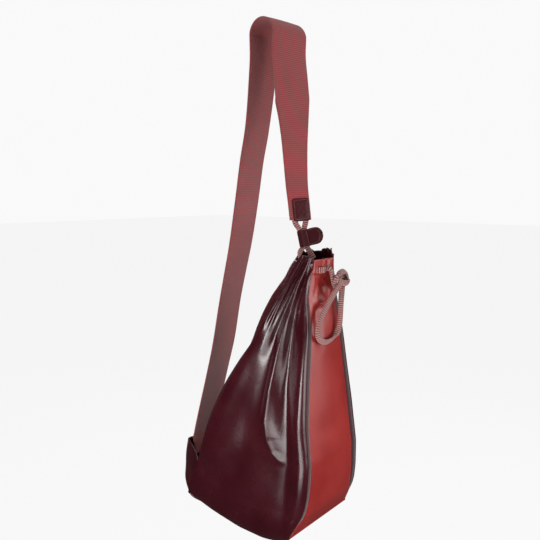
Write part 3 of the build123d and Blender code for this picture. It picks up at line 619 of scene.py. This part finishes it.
# half width left flat: the rest folds over onto the outer face
h_table = np.array([(560, 25.2), (505, 25.2), (495, 24.6), (482, 22.2), (468, 19.4), (454, 17.1), (440, 15.2), (426, 14.0), (410, 13.0), (396, 12.4), (380, 12.0), (340, 11.8)])[::-1]
flat = np.where(along > top_at, pchip(h_table[:, 0], h_table[:, 1], cz), 25.2)
nq = 61
q = np.linspace(-25, 25, nq)
tx, tz = np.gradient(cx), np.gradient(cz)
ln = np.hypot(tx, tz)
tx, tz = tx / ln, tz / ln
SP = np.zeros((ns, nq, 3))
for i in range(ns):
    u = np.array([math.sin(turn[i]), math.cos(turn[i]), 0.0])
    t = np.array([tx[i], 0.0, tz[i]])
    n = np.cross(u, t)
    n /= np.linalg.norm(n)                                 # points outwards
    h, r = flat[i], 1.1
    e = np.maximum(np.abs(q) - h, 0)
    a = np.minimum(e / r, np.pi)
    uu = np.where(e > 0, np.sign(q) * (h + r * np.sin(a) - np.maximum(e - np.pi * r, 0)), q)
    nn = np.where(e > 0, r * (1 - np.cos(a)), 0.0)
    folded = smooth(0, 8, 25 - h)
    nn = nn - 1.1 * folded
    # flaps lie a little proud where they meet, and the flat band has a very slight curl
    nn = nn + 0.35 * folded * np.exp(-((np.abs(q) - 25) / 3.0) ** 2) + 0.5 * (1 - folded) * ((q / 25.0) ** 2 - 0.4) * np.sin(along[i] * 0.012 + 0.5)
    P0 = np.array([cx[i], 0.0, cz[i]])
    SP[i] = P0 + uu[:, None] * u + nn[:, None] * n
uvs = np.stack(np.broadcast_arrays(q[None, :] + 25, along[:, None]), -1).reshape(-1, 2)
strap = new_object("shoulder_strap_webbing", WA(SP.reshape(-1, 3)), grid_faces(ns, nq), uv=uvs)
strap.data.materials.append(WEBBING)
thicken(strap, 1.4, offset=0.0)
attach(strap, "root")
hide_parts("shoulder_strap")


# ------------------------------------------------------------------ helpers for small parts
def capsules(name, stitches, radius, mats, body, nodes=()):
    """Short thread stitches: each is (start, end, outward direction) in bag millimetres."""
    verts, faces = [], []
    for a, b, out in stitches:
        a, b, out = np.array(a, float), np.array(b, float), np.array(out, float)
        d = b - a
        L = np.linalg.norm(d)
        d /= L
        out = out / np.linalg.norm(out)
        side = np.cross(d, out)
        rings = []
        for k in range(7):
            f = k / 6.0
            c = a + d * L * f + out * radius * 1.1 * math.sin(math.pi * f)
            r = radius * (0.35 + 0.65 * math.sin(math.pi * (0.08 + 0.84 * f)) ** 0.6)
            rings.append([c + side * r * math.cos(w) + out * r * math.sin(w) for w in np.linspace(0, 2 * math.pi, 8, endpoint=False)])
        base_i = len(verts)
        for rg in rings:
            verts += rg
        faces += grid_faces(7, 8, wrap=True, base=base_i)
        faces.append(tuple(base_i + k for k in range(7, -1, -1)))
        faces.append(tuple(base_i + 48 + k for k in range(8)))
    o = new_object(name, WA(np.array(verts)), faces)
    return finish_piece(o, body, mats, nodes)


def outline_stitches(points, pitch, length, at, out):
    """Stitches along a closed or open outline given in the piece's own plane."""
    pts = np.asarray(points, float)
    s = np.r_[0, np.cumsum(np.linalg.norm(np.diff(pts, axis=0), axis=1))]
    n = max(2, int(round(s[-1] / pitch)))
    res = []
    for k in range(n):
        m = (k + 0.5) * s[-1] / n
        a = [np.interp(m - length / 2, s, pts[:, j]) for j in range(2)]
        b = [np.interp(m + length / 2, s, pts[:, j]) for j in range(2)]
        res.append((at(*a), at(*b), out))
    return res


def rounded(w, h, r, n=8, lap=True):
    pts = []
    for cx_, cy_, a0 in ((w - r, h - r, 0), (-w + r, h - r, 90), (-w + r, -h + r, 180), (w - r, -h + r, 270)):
        for a in np.radians(np.linspace(a0, a0 + 90, n)):
            pts.append((cx_ + r * math.cos(a), cy_ + r * math.sin(a)))
    if lap:
        pts.append(pts[0])
    return pts


# ------------------------------------------------------------------ patches on the strap's end
PC = np.array([50.45, 0.0, 364.6])
E = np.array([5.6, 0.0, -41.5]); E /= np.linalg.norm(E)         # down the strap
N0 = np.array([41.5, 0.0, 5.6]); N0 /= np.linalg.norm(N0)
TW = math.radians(28.0)
U0 = np.array([0.0, 1.0, 0.0])
U = U0 * math.cos(TW) + N0 * math.sin(TW)
N = N0 * math.cos(TW) - U0 * math.sin(TW)
SHIFT = 1.2


def patch_mesh(name, node_name, lift, sign):
    """A pad of two layers of leather, turned over a hard edge and pressed along its stitching."""
    k = int(56 * Q) + 8
    a = np.linspace(-1, 1, k)
    A, B = np.meshgrid(a, a, indexing="ij")
    # square to rounded rectangle
    w, h, r = 10.4, 13.0, 2.4
    x, y = A * w, B * h
    ox, oy = np.maximum(np.abs(x) - (w - r), 0), np.maximum(np.abs(y) - (h - r), 0)
    L = np.hypot(ox, oy)
    M = np.maximum(ox, oy)
    f = np.where((ox > 0) & (oy > 0), M / np.maximum(L, 1e-9), 1.0)
    x = np.sign(x) * (np.minimum(np.abs(x), w - r) + ox * f)
    y = np.sign(y) * (np.minimum(np.abs(y), h - r) + oy * f)
    d = np.minimum(w - np.abs(x), h - np.abs(y))
    d = np.where((ox > 0) & (oy > 0), r - np.hypot(ox * f, oy * f), d)
    d = np.maximum(d, 0)
    t = 1.45 * np.sqrt(np.clip(1 - (1 - np.clip(d / 0.9, 0, 1)) ** 2, 0, 1))
    t += 0.38 * smooth(2.2, 6.0, d) - 0.30 * np.exp(-0.5 * ((d - 1.9) / 0.45) ** 2)
    t += 0.10 * np.sin(x * 0.9 + 1.0) * np.sin(y * 0.7) * smooth(2, 5, d)
    top = PC + (x[..., None] + SHIFT) * U + y[..., None] * E + (lift + t[..., None]) * N * sign
    low = PC + (x[..., None] + SHIFT) * U + y[..., None] * E + (lift + 0.0 * t[..., None]) * N * sign
    verts = np.concatenate([top.reshape(-1, 3), low.reshape(-1, 3)])
    faces = grid_faces(k, k, flip=(sign < 0)) + grid_faces(k, k, flip=(sign > 0), base=k * k)
    o = new_object(name, WA(verts), faces)
    bm = bmesh.new()
    bm.from_mesh(o.data)
    bmesh.ops.remove_doubles(bm, verts=bm.verts, dist=1e-6)
    bmesh.ops.recalc_face_normals(bm, faces=bm.faces)
    bm.to_mesh(o.data)
    bm.free()
    o.data.polygons.foreach_set("use_smooth", [True] * len(o.data.polygons))
    finish_piece(o, "root", [BURGUNDY_SOFT], [node_name])
    rows = []
    for sx in (1,):
        rows += outline_stitches(rounded(w - 1.9, h - 1.9, 1.6), 2.55, 1.75, lambda a_, b_: PC + (a_ + SHIFT) * U + b_ * E + (lift + 1.25) * N * sign, N * sign)
    return o, rows


outer_patch, rows_a = patch_mesh("strap_patch_outer", "strap_end_patch_outer", 1.95, 1)
inner_patch, rows_b = patch_mesh("strap_patch_inner", "strap_end_patch_inner", 1.95, -1)
capsules("patch_stitches", rows_a + rows_b, 0.27, [THREAD], "root", ["patch_stitching"])

# ------------------------------------------------------------------ slider
MID = np.array([57.0, 0.0, 331.8])
AX = np.array([0.2535, 0.0, -0.9673])
PX = np.array([0.9673, 0.0, 0.2535])


def reach(p):
    p = np.asarray(p, float)
    return np.where(p < 16.6, 9.6, 9.6 * np.sqrt(np.maximum(1 - ((p - 16.6) / 9.6) ** 2, 0.0006)))


half_sec = np.array([(-6.05, 0.0), (-5.9, 1.2), (-5.3, 2.4), (-4.2, 3.3), (-2.6, 3.75), (0.0, 3.7), (2.2, 3.1), (4.2, 2.0), (5.8, 1.15), (7.2, 0.82), (9.0, 0.95), (12.0, 1.0), (16.0, 1.0), (20.0, 0.98), (24.0, 0.92), (26.1, 0.86)])
k = np.r_[0, np.cumsum(np.hypot(*np.diff(half_sec, axis=0).T))]
kk = np.linspace(0, k[-1], int(64 * Q) + 16)
sec = np.stack([pchip(k, half_sec[:, 0], kk), pchip(k, half_sec[:, 1], kk)], -1)
sec = np.concatenate([np.stack([sec[::-1, 0], -sec[::-1, 1]], -1), sec[1:]])
tt = np.linspace(-1, 1, int(30 * Q) + 9)
SL = np.zeros((len(sec), len(tt), 3))
for i, (p_, y_) in enumerate(sec):
    L = float(reach(p_))
    for j, t_ in enumerate(tt):
        soft = 0.25 * (1 - t_ * t_) * (1 if p_ > 9 else 0)
        SL[i, j] = MID + p_ * PX + t_ * L * AX + np.array([0, y_ + np.sign(y_) * soft, 0])
slider = new_object("slider_leather", WA(SL.reshape(-1, 3)), grid_faces(len(sec), len(tt)))
for k_ in (BURGUNDY_SOFT, BURGUNDY_EDGE):
    slider.data.materials.append(k_)
thicken(slider, 1.5, offset=0.0)
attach(slider, "slider")
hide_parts("cord_slider")
rows = []
tab = [(8.4, -8.0), (16.6, -8.0)] + [(16.6 + 7.9 * math.sin(w), -8.0 * math.cos(w)) for w in np.linspace(0.15, math.pi - 0.15, 16)] + [(16.6, 8.0), (8.4, 8.0)]
for sgn in (-1, 1):
    rows += outline_stitches(tab, 2.3, 1.5, lambda a_, b_: MID + a_ * PX + b_ * AX + np.array([0, sgn * 1.95, 0]), np.array([0, sgn, 0]))
    rows += outline_stitches([(7.4, -8.0), (7.4, 8.0)], 2.3, 1.5, lambda a_, b_: MID + a_ * PX + b_ * AX + np.array([0, sgn * 1.66, 0]), np.array([0, sgn, 0]))
capsules("slider_stitches", rows, 0.22, [THREAD], "slider", ["slider_stitching"])


# ------------------------------------------------------------------ cords
def spline_points(pts):
    """Points read from the route's own curve, in the shared frame."""
    cu = bpy.data.curves.new("route", "CURVE")
    cu.dimensions = "3D"
    cu.resolution_u = 14
    sp = cu.splines.new("NURBS")
    sp.points.add(len(pts) - 1)
    for k_, p_ in enumerate(pts):
        sp.points[k_].co = (*W(*p_), 1.0)
    sp.order_u = 3
    sp.use_endpoint_u = True
    o = bpy.data.objects.new("route", cu)
    bpy.context.scene.collection.objects.link(o)
    bpy.context.view_layer.update()
    me = bpy.data.meshes.new_from_object(o)
    co = np.array([v.co[:] for v in me.vertices])
    bpy.data.objects.remove(o)
    bpy.data.curves.remove(cu)
    bpy.data.meshes.remove(me)
    return co


def flat_cord(name, pts, wides, width, thick, body, nodes=(), taper=None, uv0=0.0):
    """A flat braided cord along a route: wides gives the width's direction at shares of the length."""
    path = spline_points(pts)
    d = np.linalg.norm(np.diff(path, axis=0), axis=1)
    keep = np.r_[True, d > 1e-7]
    path = path[keep]
    s = np.r_[0, np.cumsum(np.linalg.norm(np.diff(path, axis=0), axis=1))]
    total = s[-1]
    n = max(12, int(total * 1000 / 0.8))
    ss = np.linspace(0, total, n)
    P = np.stack([np.interp(ss, s, path[:, j]) for j in range(3)], -1)
    for _ in range(3):
        P[1:-1] = (P[:-2] + 2 * P[1:-1] + P[2:]) / 4
    T = np.gradient(P, axis=0)
    T /= np.linalg.norm(T, axis=1)[:, None]
    ws = np.array([w[0] for w in wides]) * total
    wd = np.array([w[1] for w in wides], float)
    G = np.stack([np.interp(ss, ws, wd[:, j]) for j in range(3)], -1)
    G -= (G * T).sum(1)[:, None] * T
    G /= np.linalg.norm(G, axis=1)[:, None]
    B = np.cross(T, G)
    m = 24
    ang = np.linspace(0, 2 * math.pi, m, endpoint=False)
    e = 0.62
    cx_, sy_ = np.sign(np.cos(ang)) * np.abs(np.cos(ang)) ** e, np.sign(np.sin(ang)) * np.abs(np.sin(ang)) ** e
    verts = np.zeros((n, m + 1, 3))
    uv = np.zeros((n, m + 1, 2))
    ring = np.stack([cx_ * width / 2, sy_ * thick / 2], -1)
    ring = np.concatenate([ring, ring[:1]])
    per = np.r_[0, np.cumsum(np.linalg.norm(np.diff(ring, axis=0), axis=1))]
    for i in range(n):
        k_ = 1.0 if taper is None else float(np.interp(ss[i] / total, [a_[0] for a_ in taper], [a_[1] for a_ in taper]))
        # each plait of the braid stands out a little
        rib = 1.0 + 0.035 * math.sin(2 * math.pi * ss[i] * 1000 / 1.7)
        verts[i] = P[i] + (ring[:, :1] * k_ * G[i] + ring[:, 1:] * rib * B[i]) / 1000.0
        uv[i, :, 0], uv[i, :, 1] = per, ss[i] * 1000 + uv0
    o = new_object(name, verts.reshape(-1, 3), grid_faces(n, m + 1), uv=uv.reshape(-1, 2))
    # close the ends
    bm = bmesh.new()
    bm.from_mesh(o.data)
    bm.verts.ensure_lookup_table()
    for row in (0, n - 1):
        bm.verts.ensure_lookup_table()
        vs = [bm.verts[row * (m + 1) + k_] for k_ in range(m)]
        c = bm.verts.new(sum((v.co for v in vs), Vector()) / m)
        for k_ in range(m):
            a_, b_ = vs[k_], vs[(k_ + 1) % m]
            bm.faces.new((a_, b_, c) if row else (b_, a_, c))
    bmesh.ops.remove_doubles(bm, verts=bm.verts, dist=2e-6)
    bmesh.ops.recalc_face_normals(bm, faces=bm.faces)
    bm.to_mesh(o.data)
    bm.free()
    o.data.polygons.foreach_set("use_smooth", [True] * len(o.data.polygons))
    finish_piece(o, body, [CORD], nodes)
    return o, P, total


CW, CT = 6.8, 3.0


def at(p, a, y=0.0):
    v = MID + p * PX + a * AX
    return (v[0], y, v[2])


NEAR_ROUTE = [(48.7, -6.8, 354.0), (48.9, -6.6, 349.5), at(-1.9, -11.5, -1.6), at(-1.7, 0, -1.4), at(-1.7, 10.0, -1.2), (56.9, -4.6, 319.8), (57.6, -9.4, 316.0), (59.4, -11.4, 309.0)]
FAR_ROUTE = [(55.5, 5.6, 354.0), (55.6, 4.9, 348.5), at(1.5, -11.5, 1.6), at(1.6, 0, 1.5), at(1.2, 11.0, 1.2), (63.8, 1.6, 318.0), (68.0, 4.5, 309.0)]
near_cord, near_path, near_len = flat_cord("drawcord_bight_near", NEAR_ROUTE, [(0, U), (0.35, (0.9, 0.35, 0)), (0.75, (0.85, 0.3, 0.1)), (1, (0.55, -0.75, 0.2))], CW, CT, "root", ["drawcord_bight"], taper=[(0, 1), (0.25, 0.86), (0.45, 0.78), (0.6, 0.78), (0.8, 0.95), (1, 1)])
far_cord, far_path, far_len = flat_cord("drawcord_bight_far", FAR_ROUTE, [(0, U), (0.35, (0.9, 0.35, 0)), (0.75, (0.85, 0.3, 0.1)), (1, (0.5, 0.8, 0.2))], CW, CT, "root", ["drawcord_bight"], taper=[(0, 1), (0.25, 0.9), (0.45, 0.78), (0.6, 0.78), (0.8, 0.95), (1, 1)])

# the ring of cord inside the hem
RING_Z = 298.0
ring_route = [(66, -15.1, RING_Z), (74, -15.1, RING_Z), (79.2, -14.8, RING_Z), (79.4, -8, RING_Z), (79.4, 8, RING_Z), (79.2, 14.8, RING_Z), (72, 15.1, RING_Z), (60, 15.1, RING_Z), (52.8, 14.8, RING_Z), (52.6, 7, RING_Z), (52.6, -7, RING_Z), (52.8, -14.8, RING_Z), (58, -15.1, RING_Z), (65.6, -15.1, RING_Z)]
flat_cord("drawcord_in_hem", ring_route, [(0, (0, 0, 1)), (1, (0, 0, 1))], 4.6, 2.8, "root", ["drawcord_channel"])

# the stretch that shows on the front
flat_cord("drawcord_front_stretch", [(82.5, -13.6, 298.6), (86.4, -13.2, 298.6), (88.6, -9.5, 298.7), (88.9, -4.5, 298.5), (87.6, -0.8, 298.2), (84.5, 0.8, 298.0)],
          [(0, (0, 0, 1)), (1, (0.1, 0.1, 1))], CW, 2.4, "root", ["drawcord_front_strip"])
# and the stub that comes back out, towards the knot
flat_cord("drawcord_stub", [(84.0, 2.4, 299.8), (88.4, 2.2, 300.2), (91.2, 2.6, 299.8), (92.8, 4.6, 296.5), (93.2, 6.4, 291.5)],
          [(0, (0.1, 0.4, 1)), (0.5, (-0.2, 0.75, 0.7)), (1, (-0.2, 0.95, 0.25))], CW, 2.8, "root", ["drawcord_front_strip"])

# the knot
KA = [(92.4, 4.8, 297.0), (93.6, 5.6, 291.0), (92.8, 8.6, 284.0), (91.0, 14.0, 278.6), (90.2, 20.0, 278.2), (90.8, 27.0, 280.2), (91.8, 32.6, 283.6), (92.8, 34.6, 289.0), (93.6, 27.0, 291.0), (93.6, 18.0, 289.5), (93.4, 12.0, 288.0)]
KB = [(90.8, 16.0, 277.6), (94.0, 9.6, 281.0), (96.6, 7.6, 287.0), (98.2, 9.6, 292.0), (98.8, 15.5, 295.2), (98.0, 23.5, 295.2), (97.2, 30.0, 291.0), (97.6, 31.0, 285.0), (98.8, 26.5, 280.9), (99.8, 18.8, 281.9), (98.8, 13.2, 284.6), (96.0, 11.0, 286.0)]
knot_a, ka_path, ka_len = flat_cord("knot_strand_under", KA, [(0, (0.1, 0.9, 0.3)), (0.35, (0.1, 0.7, 0.7)), (0.7, (0, 0.5, 0.9)), (1, (0, 0.3, 1))], CW, CT, "hanging_loop", ["drawcord_knot"])
knot_b, kb_path, kb_len = flat_cord("knot_strand_over", KB, [(0, (0.3, 0.8, 0.3)), (0.2, (0.2, 0.95, -0.1)), (0.36, (-0.5, 0.4, 0.8)), (0.5, (-0.75, 0.1, 0.7)), (0.62, (-0.55, 0.65, 0.3)), (0.75, (-0.3, 0.25, 0.9)), (1, (0.1, 0.3, 0.95))], CW, CT, "hanging_loop", ["drawcord_knot"])

# the hanging loop
LOOP = [(98.6, 17.5, 284.4), (98.2, 11.5, 279.0), (97.2, 2.4, 270.6), (96.6, -8.0, 260.2), (96.2, -18.2, 249.5), (96.0, -25.2, 238.0), (96.0, -25.8, 226.5), (96.0, -17.0, 219.0), (96.0, -4.0, 217.0), (96.0, 9.0, 220.5), (96.0, 17.4, 230.0), (95.6, 19.8, 244.0), (95.0, 21.2, 257.5), (94.0, 24.2, 268.5), (93.0, 27.0, 277.6)]
loop, loop_path, loop_len = flat_cord("hanging_loop_cord", LOOP, [(0, (0.15, 0.7, -0.7)), (0.2, (0.15, 0.6, -0.75)), (0.38, (0.2, 0.9, -0.2)), (0.5, (0.5, 0.2, 0.85)), (0.62, (0.5, 0.3, 0.8)), (0.72, (0.35, 0.9, 0)), (1, (0.5, 0.8, 0.1))], CW, CT, "hanging_loop", ["drawcord_loop"])
for piece, path_, length_, ends in ((loop, loop_path, loop_len, "object"), (near_cord, near_path, near_len, "object"), (far_cord, far_path, far_len, "object")):
    pp = [Vector(p_) for p_ in path_[::3]] + [Vector(path_[-1])]
    tuple(path_[0])

# ------------------------------------------------------------------ the leather boot that takes the strap's lower end
# height, outer wall's X, outer wall's half width
BOOT = np.array([(-2, -84, 57), (1, -85.5, 56), (6, -91.0, 53.8), (12, -96.8, 50.6), (25, -104.5, 42.5), (40, -111.2, 35), (54, -113.4, 29.5), (66, -112.0, 27.0)], float)


def boot_section(z, m=26):
    """Across the boot from its near to its far join, at one height."""
    xo = float(pchip(BOOT[:, 0], BOOT[:, 1], z)); ho = float(pchip(BOOT[:, 0], BOOT[:, 2], z))
    xb, yb = edge(BACK_EDGE, np.array([z]))
    xb, yb = float(xb[0]) + 2.0, float(yb[0]) - 1.0
    corner = 2.2
    pts = []
    for k_ in range(m + 1):
        f = k_ / m
        px_, py_ = xb + (xo + corner - xb) * f, -(yb + (ho + 0.6 - yb) * f)
        hollow = 3.4 * math.sin(math.pi * f) * (1 - math.exp(-max(z, 0) / 9.0))
        # a hollow flank: pressed in towards the bag
        pts.append((px_ + 0.35 * hollow, py_ + 0.9 * hollow))
    for a_ in np.linspace(0.15, 1, 5):
        pts.append((xo + corner * (1 - a_) ** 1.6, -(ho + 0.6) + 2.4 * a_))
    near_half = pts
    mid = [(xo - 0.6 * math.sin(math.pi * f) * 0, y_) for f, y_ in zip(np.linspace(0, 1, 20)[1:-1], np.linspace(-ho + 1.8, ho - 1.8, 20)[1:-1])]
    return near_half + mid + [(x_, -y_) for x_, y_ in near_half[::-1]]


zs = np.linspace(0.0, 1.0, 46)
cols = len(boot_section(10.0))
BT = np.zeros((len(zs), cols, 3))
share = np.zeros(cols)
m_flank = 27
for j in range(cols):
    jj = min(j, cols - 1 - j)
    share[j] = min(jj / (m_flank + 4.0), 1.0)
for i, f in enumerate(zs):
    for j in range(cols):
        rim = 41.0 + (55.5 - 41.0) * share[j] ** 1.1 - 2.0 * (share[j] >= 1.0) * math.sin(math.pi * np.clip((min(j, cols - 1 - j) - 31) / 10.0, 0, 1) / 2)
        z = 0.5 + (rim - 0.5) * f
        BT[i, j, 2] = z
        sx = boot_section(z)[j]
        BT[i, j, 0], BT[i, j, 1] = sx
boot = new_object("strap_boot_leather", WA(BT.reshape(-1, 3)), grid_faces(len(zs), cols, flip=False))
for k_ in (BURGUNDY_SOFT, BURGUNDY_EDGE):
    boot.data.materials.append(k_)
thicken(boot, 1.5, rim=1, offset=1.0)
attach(boot, "root")
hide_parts("strap_anchor")
# its bottom, which closes it under the strap's end
edge_pts = boot_section(1.2)
ring_pts = [(x_ + 0.6, y_ * 0.985, 0.4) for x_, y_ in edge_pts]
mid_x = sum(q_[0] for q_ in ring_pts) / len(ring_pts)
nb = 8
bottom = np.array([[(mid_x + (q_[0] - mid_x) * k_ / nb, q_[1] * k_ / nb, q_[2]) for q_ in ring_pts + [ring_pts[0]]] for k_ in [0.02] + list(range(1, nb + 1))])
boot_base = new_object("strap_boot_bottom", WA(bottom.reshape(-1, 3)), grid_faces(bottom.shape[0], bottom.shape[1]))
for k_ in (BURGUNDY_SOFT, BURGUNDY_EDGE):
    boot_base.data.materials.append(k_)
thicken(boot_base, 1.4, rim=1, offset=0.0)
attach(boot_base, "root")
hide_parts("strap_anchor")
# the welt sewn into its two outer corners
for sgn, nm in ((-1, "near"), (1, "far")):
    zz = np.linspace(1.0, 55.0, 60)
    path = np.stack([pchip(BOOT[:, 0], BOOT[:, 1], zz) + 0.8, sgn * (pchip(BOOT[:, 0], BOOT[:, 2], zz) - 0.4), zz], -1)
    ring = 10
    V = np.zeros((len(zz), ring, 3))
    T = np.gradient(path, axis=0); T /= np.linalg.norm(T, axis=1)[:, None]
    for i in range(len(zz)):
        out = np.array([-0.75, sgn * 0.66, 0.0]); out -= out.dot(T[i]) * T[i]; out /= np.linalg.norm(out)
        side = np.cross(T[i], out)
        for j, a_ in enumerate(np.linspace(0, 2 * math.pi, ring, endpoint=False)):
            V[i, j] = path[i] + out * 1.1 * math.cos(a_) + side * 0.7 * math.sin(a_)
    f = grid_faces(len(zz), ring, wrap=True) + [tuple(range(ring - 1, -1, -1)), tuple((len(zz) - 1) * ring + k_ for k_ in range(ring))]
    w = new_object("strap_boot_welt_" + nm, WA(V.reshape(-1, 3)), f)
    finish_piece(w, "root", [WELT], ["strap_anchor"])


# ------------------------------------------------------------------ floor, lights, camera
floor_z = CAD_BOX[0][2] - 0.42
bpy.ops.mesh.primitive_plane_add(size=30.0, location=(0, 0, floor_z))
floor = bpy.context.object
floor.name = "floor"
fm, ft, fb = material("floor_paper")
fb.inputs["Base Color"].default_value = (0.92, 0.92, 0.92, 1)
fb.inputs["Roughness"].default_value = 0.9
floor.data.materials.append(fm)
fb.inputs["Specular IOR Level"].default_value = 0.0
dim = ft.nodes.new("ShaderNodeBsdfDiffuse")
dim.inputs[0].default_value = (0.05, 0.05, 0.05, 1)
floor_lp = ft.nodes.new("ShaderNodeLightPath")
floor_mix = ft.nodes.new("ShaderNodeMixShader")
ft.links.new(floor_lp.outputs["Is Glossy Ray"], floor_mix.inputs[0])
glow = ft.nodes.new("ShaderNodeEmission")
glow.inputs[0].default_value = (1.0, 1.0, 1.0, 1)
glow.inputs[1].default_value = 0.95
pale = ft.nodes.new("ShaderNodeMixShader")
share_glow = ft.nodes.new("ShaderNodeMath")
share_glow.operation = "MULTIPLY"
share_glow.inputs[1].default_value = 0.94
ft.links.new(floor_lp.outputs["Is Camera Ray"], share_glow.inputs[0])
ft.links.new(share_glow.outputs[0], pale.inputs[0])
ft.links.new(fb.outputs[0], pale.inputs[1])
ft.links.new(glow.outputs[0], pale.inputs[2])
ft.links.new(pale.outputs[0], floor_mix.inputs[1])
ft.links.new(dim.outputs[0], floor_mix.inputs[2])
ft.links.new(floor_mix.outputs[0], [n for n in ft.nodes if n.type == "OUTPUT_MATERIAL"][0].inputs[0])

world = bpy.data.worlds.new("studio")
bpy.context.scene.world = world
world.use_nodes = True
wt = world.node_tree
bg = wt.nodes["Background"]
bg.inputs[0].default_value = (1.0, 1.0, 1.0, 1)
bg.inputs[1].default_value = 0.95
dark = wt.nodes.new("ShaderNodeBackground")
dark.inputs[0].default_value = (1.0, 1.0, 1.0, 1)
dark.inputs[1].default_value = 0.018
soft = wt.nodes.new("ShaderNodeBackground")
soft.inputs[0].default_value = (1.0, 1.0, 1.0, 1)
soft.inputs[1].default_value = 0.30
lp = wt.nodes.new("ShaderNodeLightPath")
m1 = wt.nodes.new("ShaderNodeMixShader")
wt.links.new(lp.outputs["Is Glossy Ray"], m1.inputs[0])
wt.links.new(soft.outputs[0], m1.inputs[1])
wt.links.new(dark.outputs[0], m1.inputs[2])
m2 = wt.nodes.new("ShaderNodeMixShader")
wt.links.new(lp.outputs["Is Camera Ray"], m2.inputs[0])
wt.links.new(m1.outputs[0], m2.inputs[1])
wt.links.new(bg.outputs[0], m2.inputs[2])
wt.links.new(m2.outputs[0], wt.nodes["World Output"].inputs[0])


def area_light(name, target, azimuth, elevation, dist, size, power, size_y=None):
    """azimuth is measured from +X towards +Y, seen from above."""
    L = bpy.data.lights.new(name, "AREA")
    L.shape = "RECTANGLE"
    L.size, L.size_y = size, size_y or size
    L.energy = power
    o = bpy.data.objects.new(name, L)
    a, e = math.radians(azimuth), math.radians(elevation)
    o.location = target + Vector((math.cos(a) * math.cos(e), math.sin(a) * math.cos(e), math.sin(e))) * dist
    o.rotation_euler = (target - o.location).to_track_quat("-Z", "Y").to_euler()
    bpy.context.scene.collection.objects.link(o)
    o.visible_camera = False
    return o


centre = W(10, 0, 200)
low = W(20, 0, 104)
area_light("key_wide", W(20, 0, 124), -78, 0, 0.62, 0.34, 2.0, 0.19)
area_light("key_narrow", low, -89, 0, 0.62, 0.06, 0.6, 0.23)
area_light("front", W(20, 0, 120), -5, 0, 0.62, 0.46, 1.6, 0.20)
card = bpy.data.lights.new("low_card", "AREA")
card.shape = "RECTANGLE"
card.size, card.size_y = 0.22, 0.20
card.energy = 1.05
card_object = bpy.data.objects.new("low_card", card)
card_object.location = W(102, -385, -12)
card_object.rotation_euler = Euler((math.pi, 0.0, 0.0))
card_object.visible_camera = False
bpy.context.scene.collection.objects.link(card_object)
area_light("edge_left", centre, -160, 12, 1.5, 0.30, 1.0, 1.25)
area_light("fill_right", centre, 30, 14, 1.5, 0.45, 11, 1.2)
area_light("top", centre, -60, 60, 1.6, 0.9, 9, 0.9)
area_light("back_rim", centre, 150, 30, 1.6, 0.5, 6, 1.2)
area_light("far_side", centre, 92, 20, 1.6, 0.6, 6, 1.2)

cam_data = bpy.data.cameras.new("camera")
cam = bpy.data.objects.new("camera", cam_data)
bpy.context.scene.collection.objects.link(cam)
cam_data.sensor_width = 36.0
cam_data.lens = 40.0
cam_data.clip_start = 0.01
cam.location = W(469.0, -555.5, 385.0)
cam.rotation_euler = Euler((math.radians(90.0 - 7.4), 0.0, math.radians(39.8)))
bpy.context.scene.camera = cam

bpy.context.scene.view_settings.view_transform = "Standard"
bpy.context.view_layer.update()
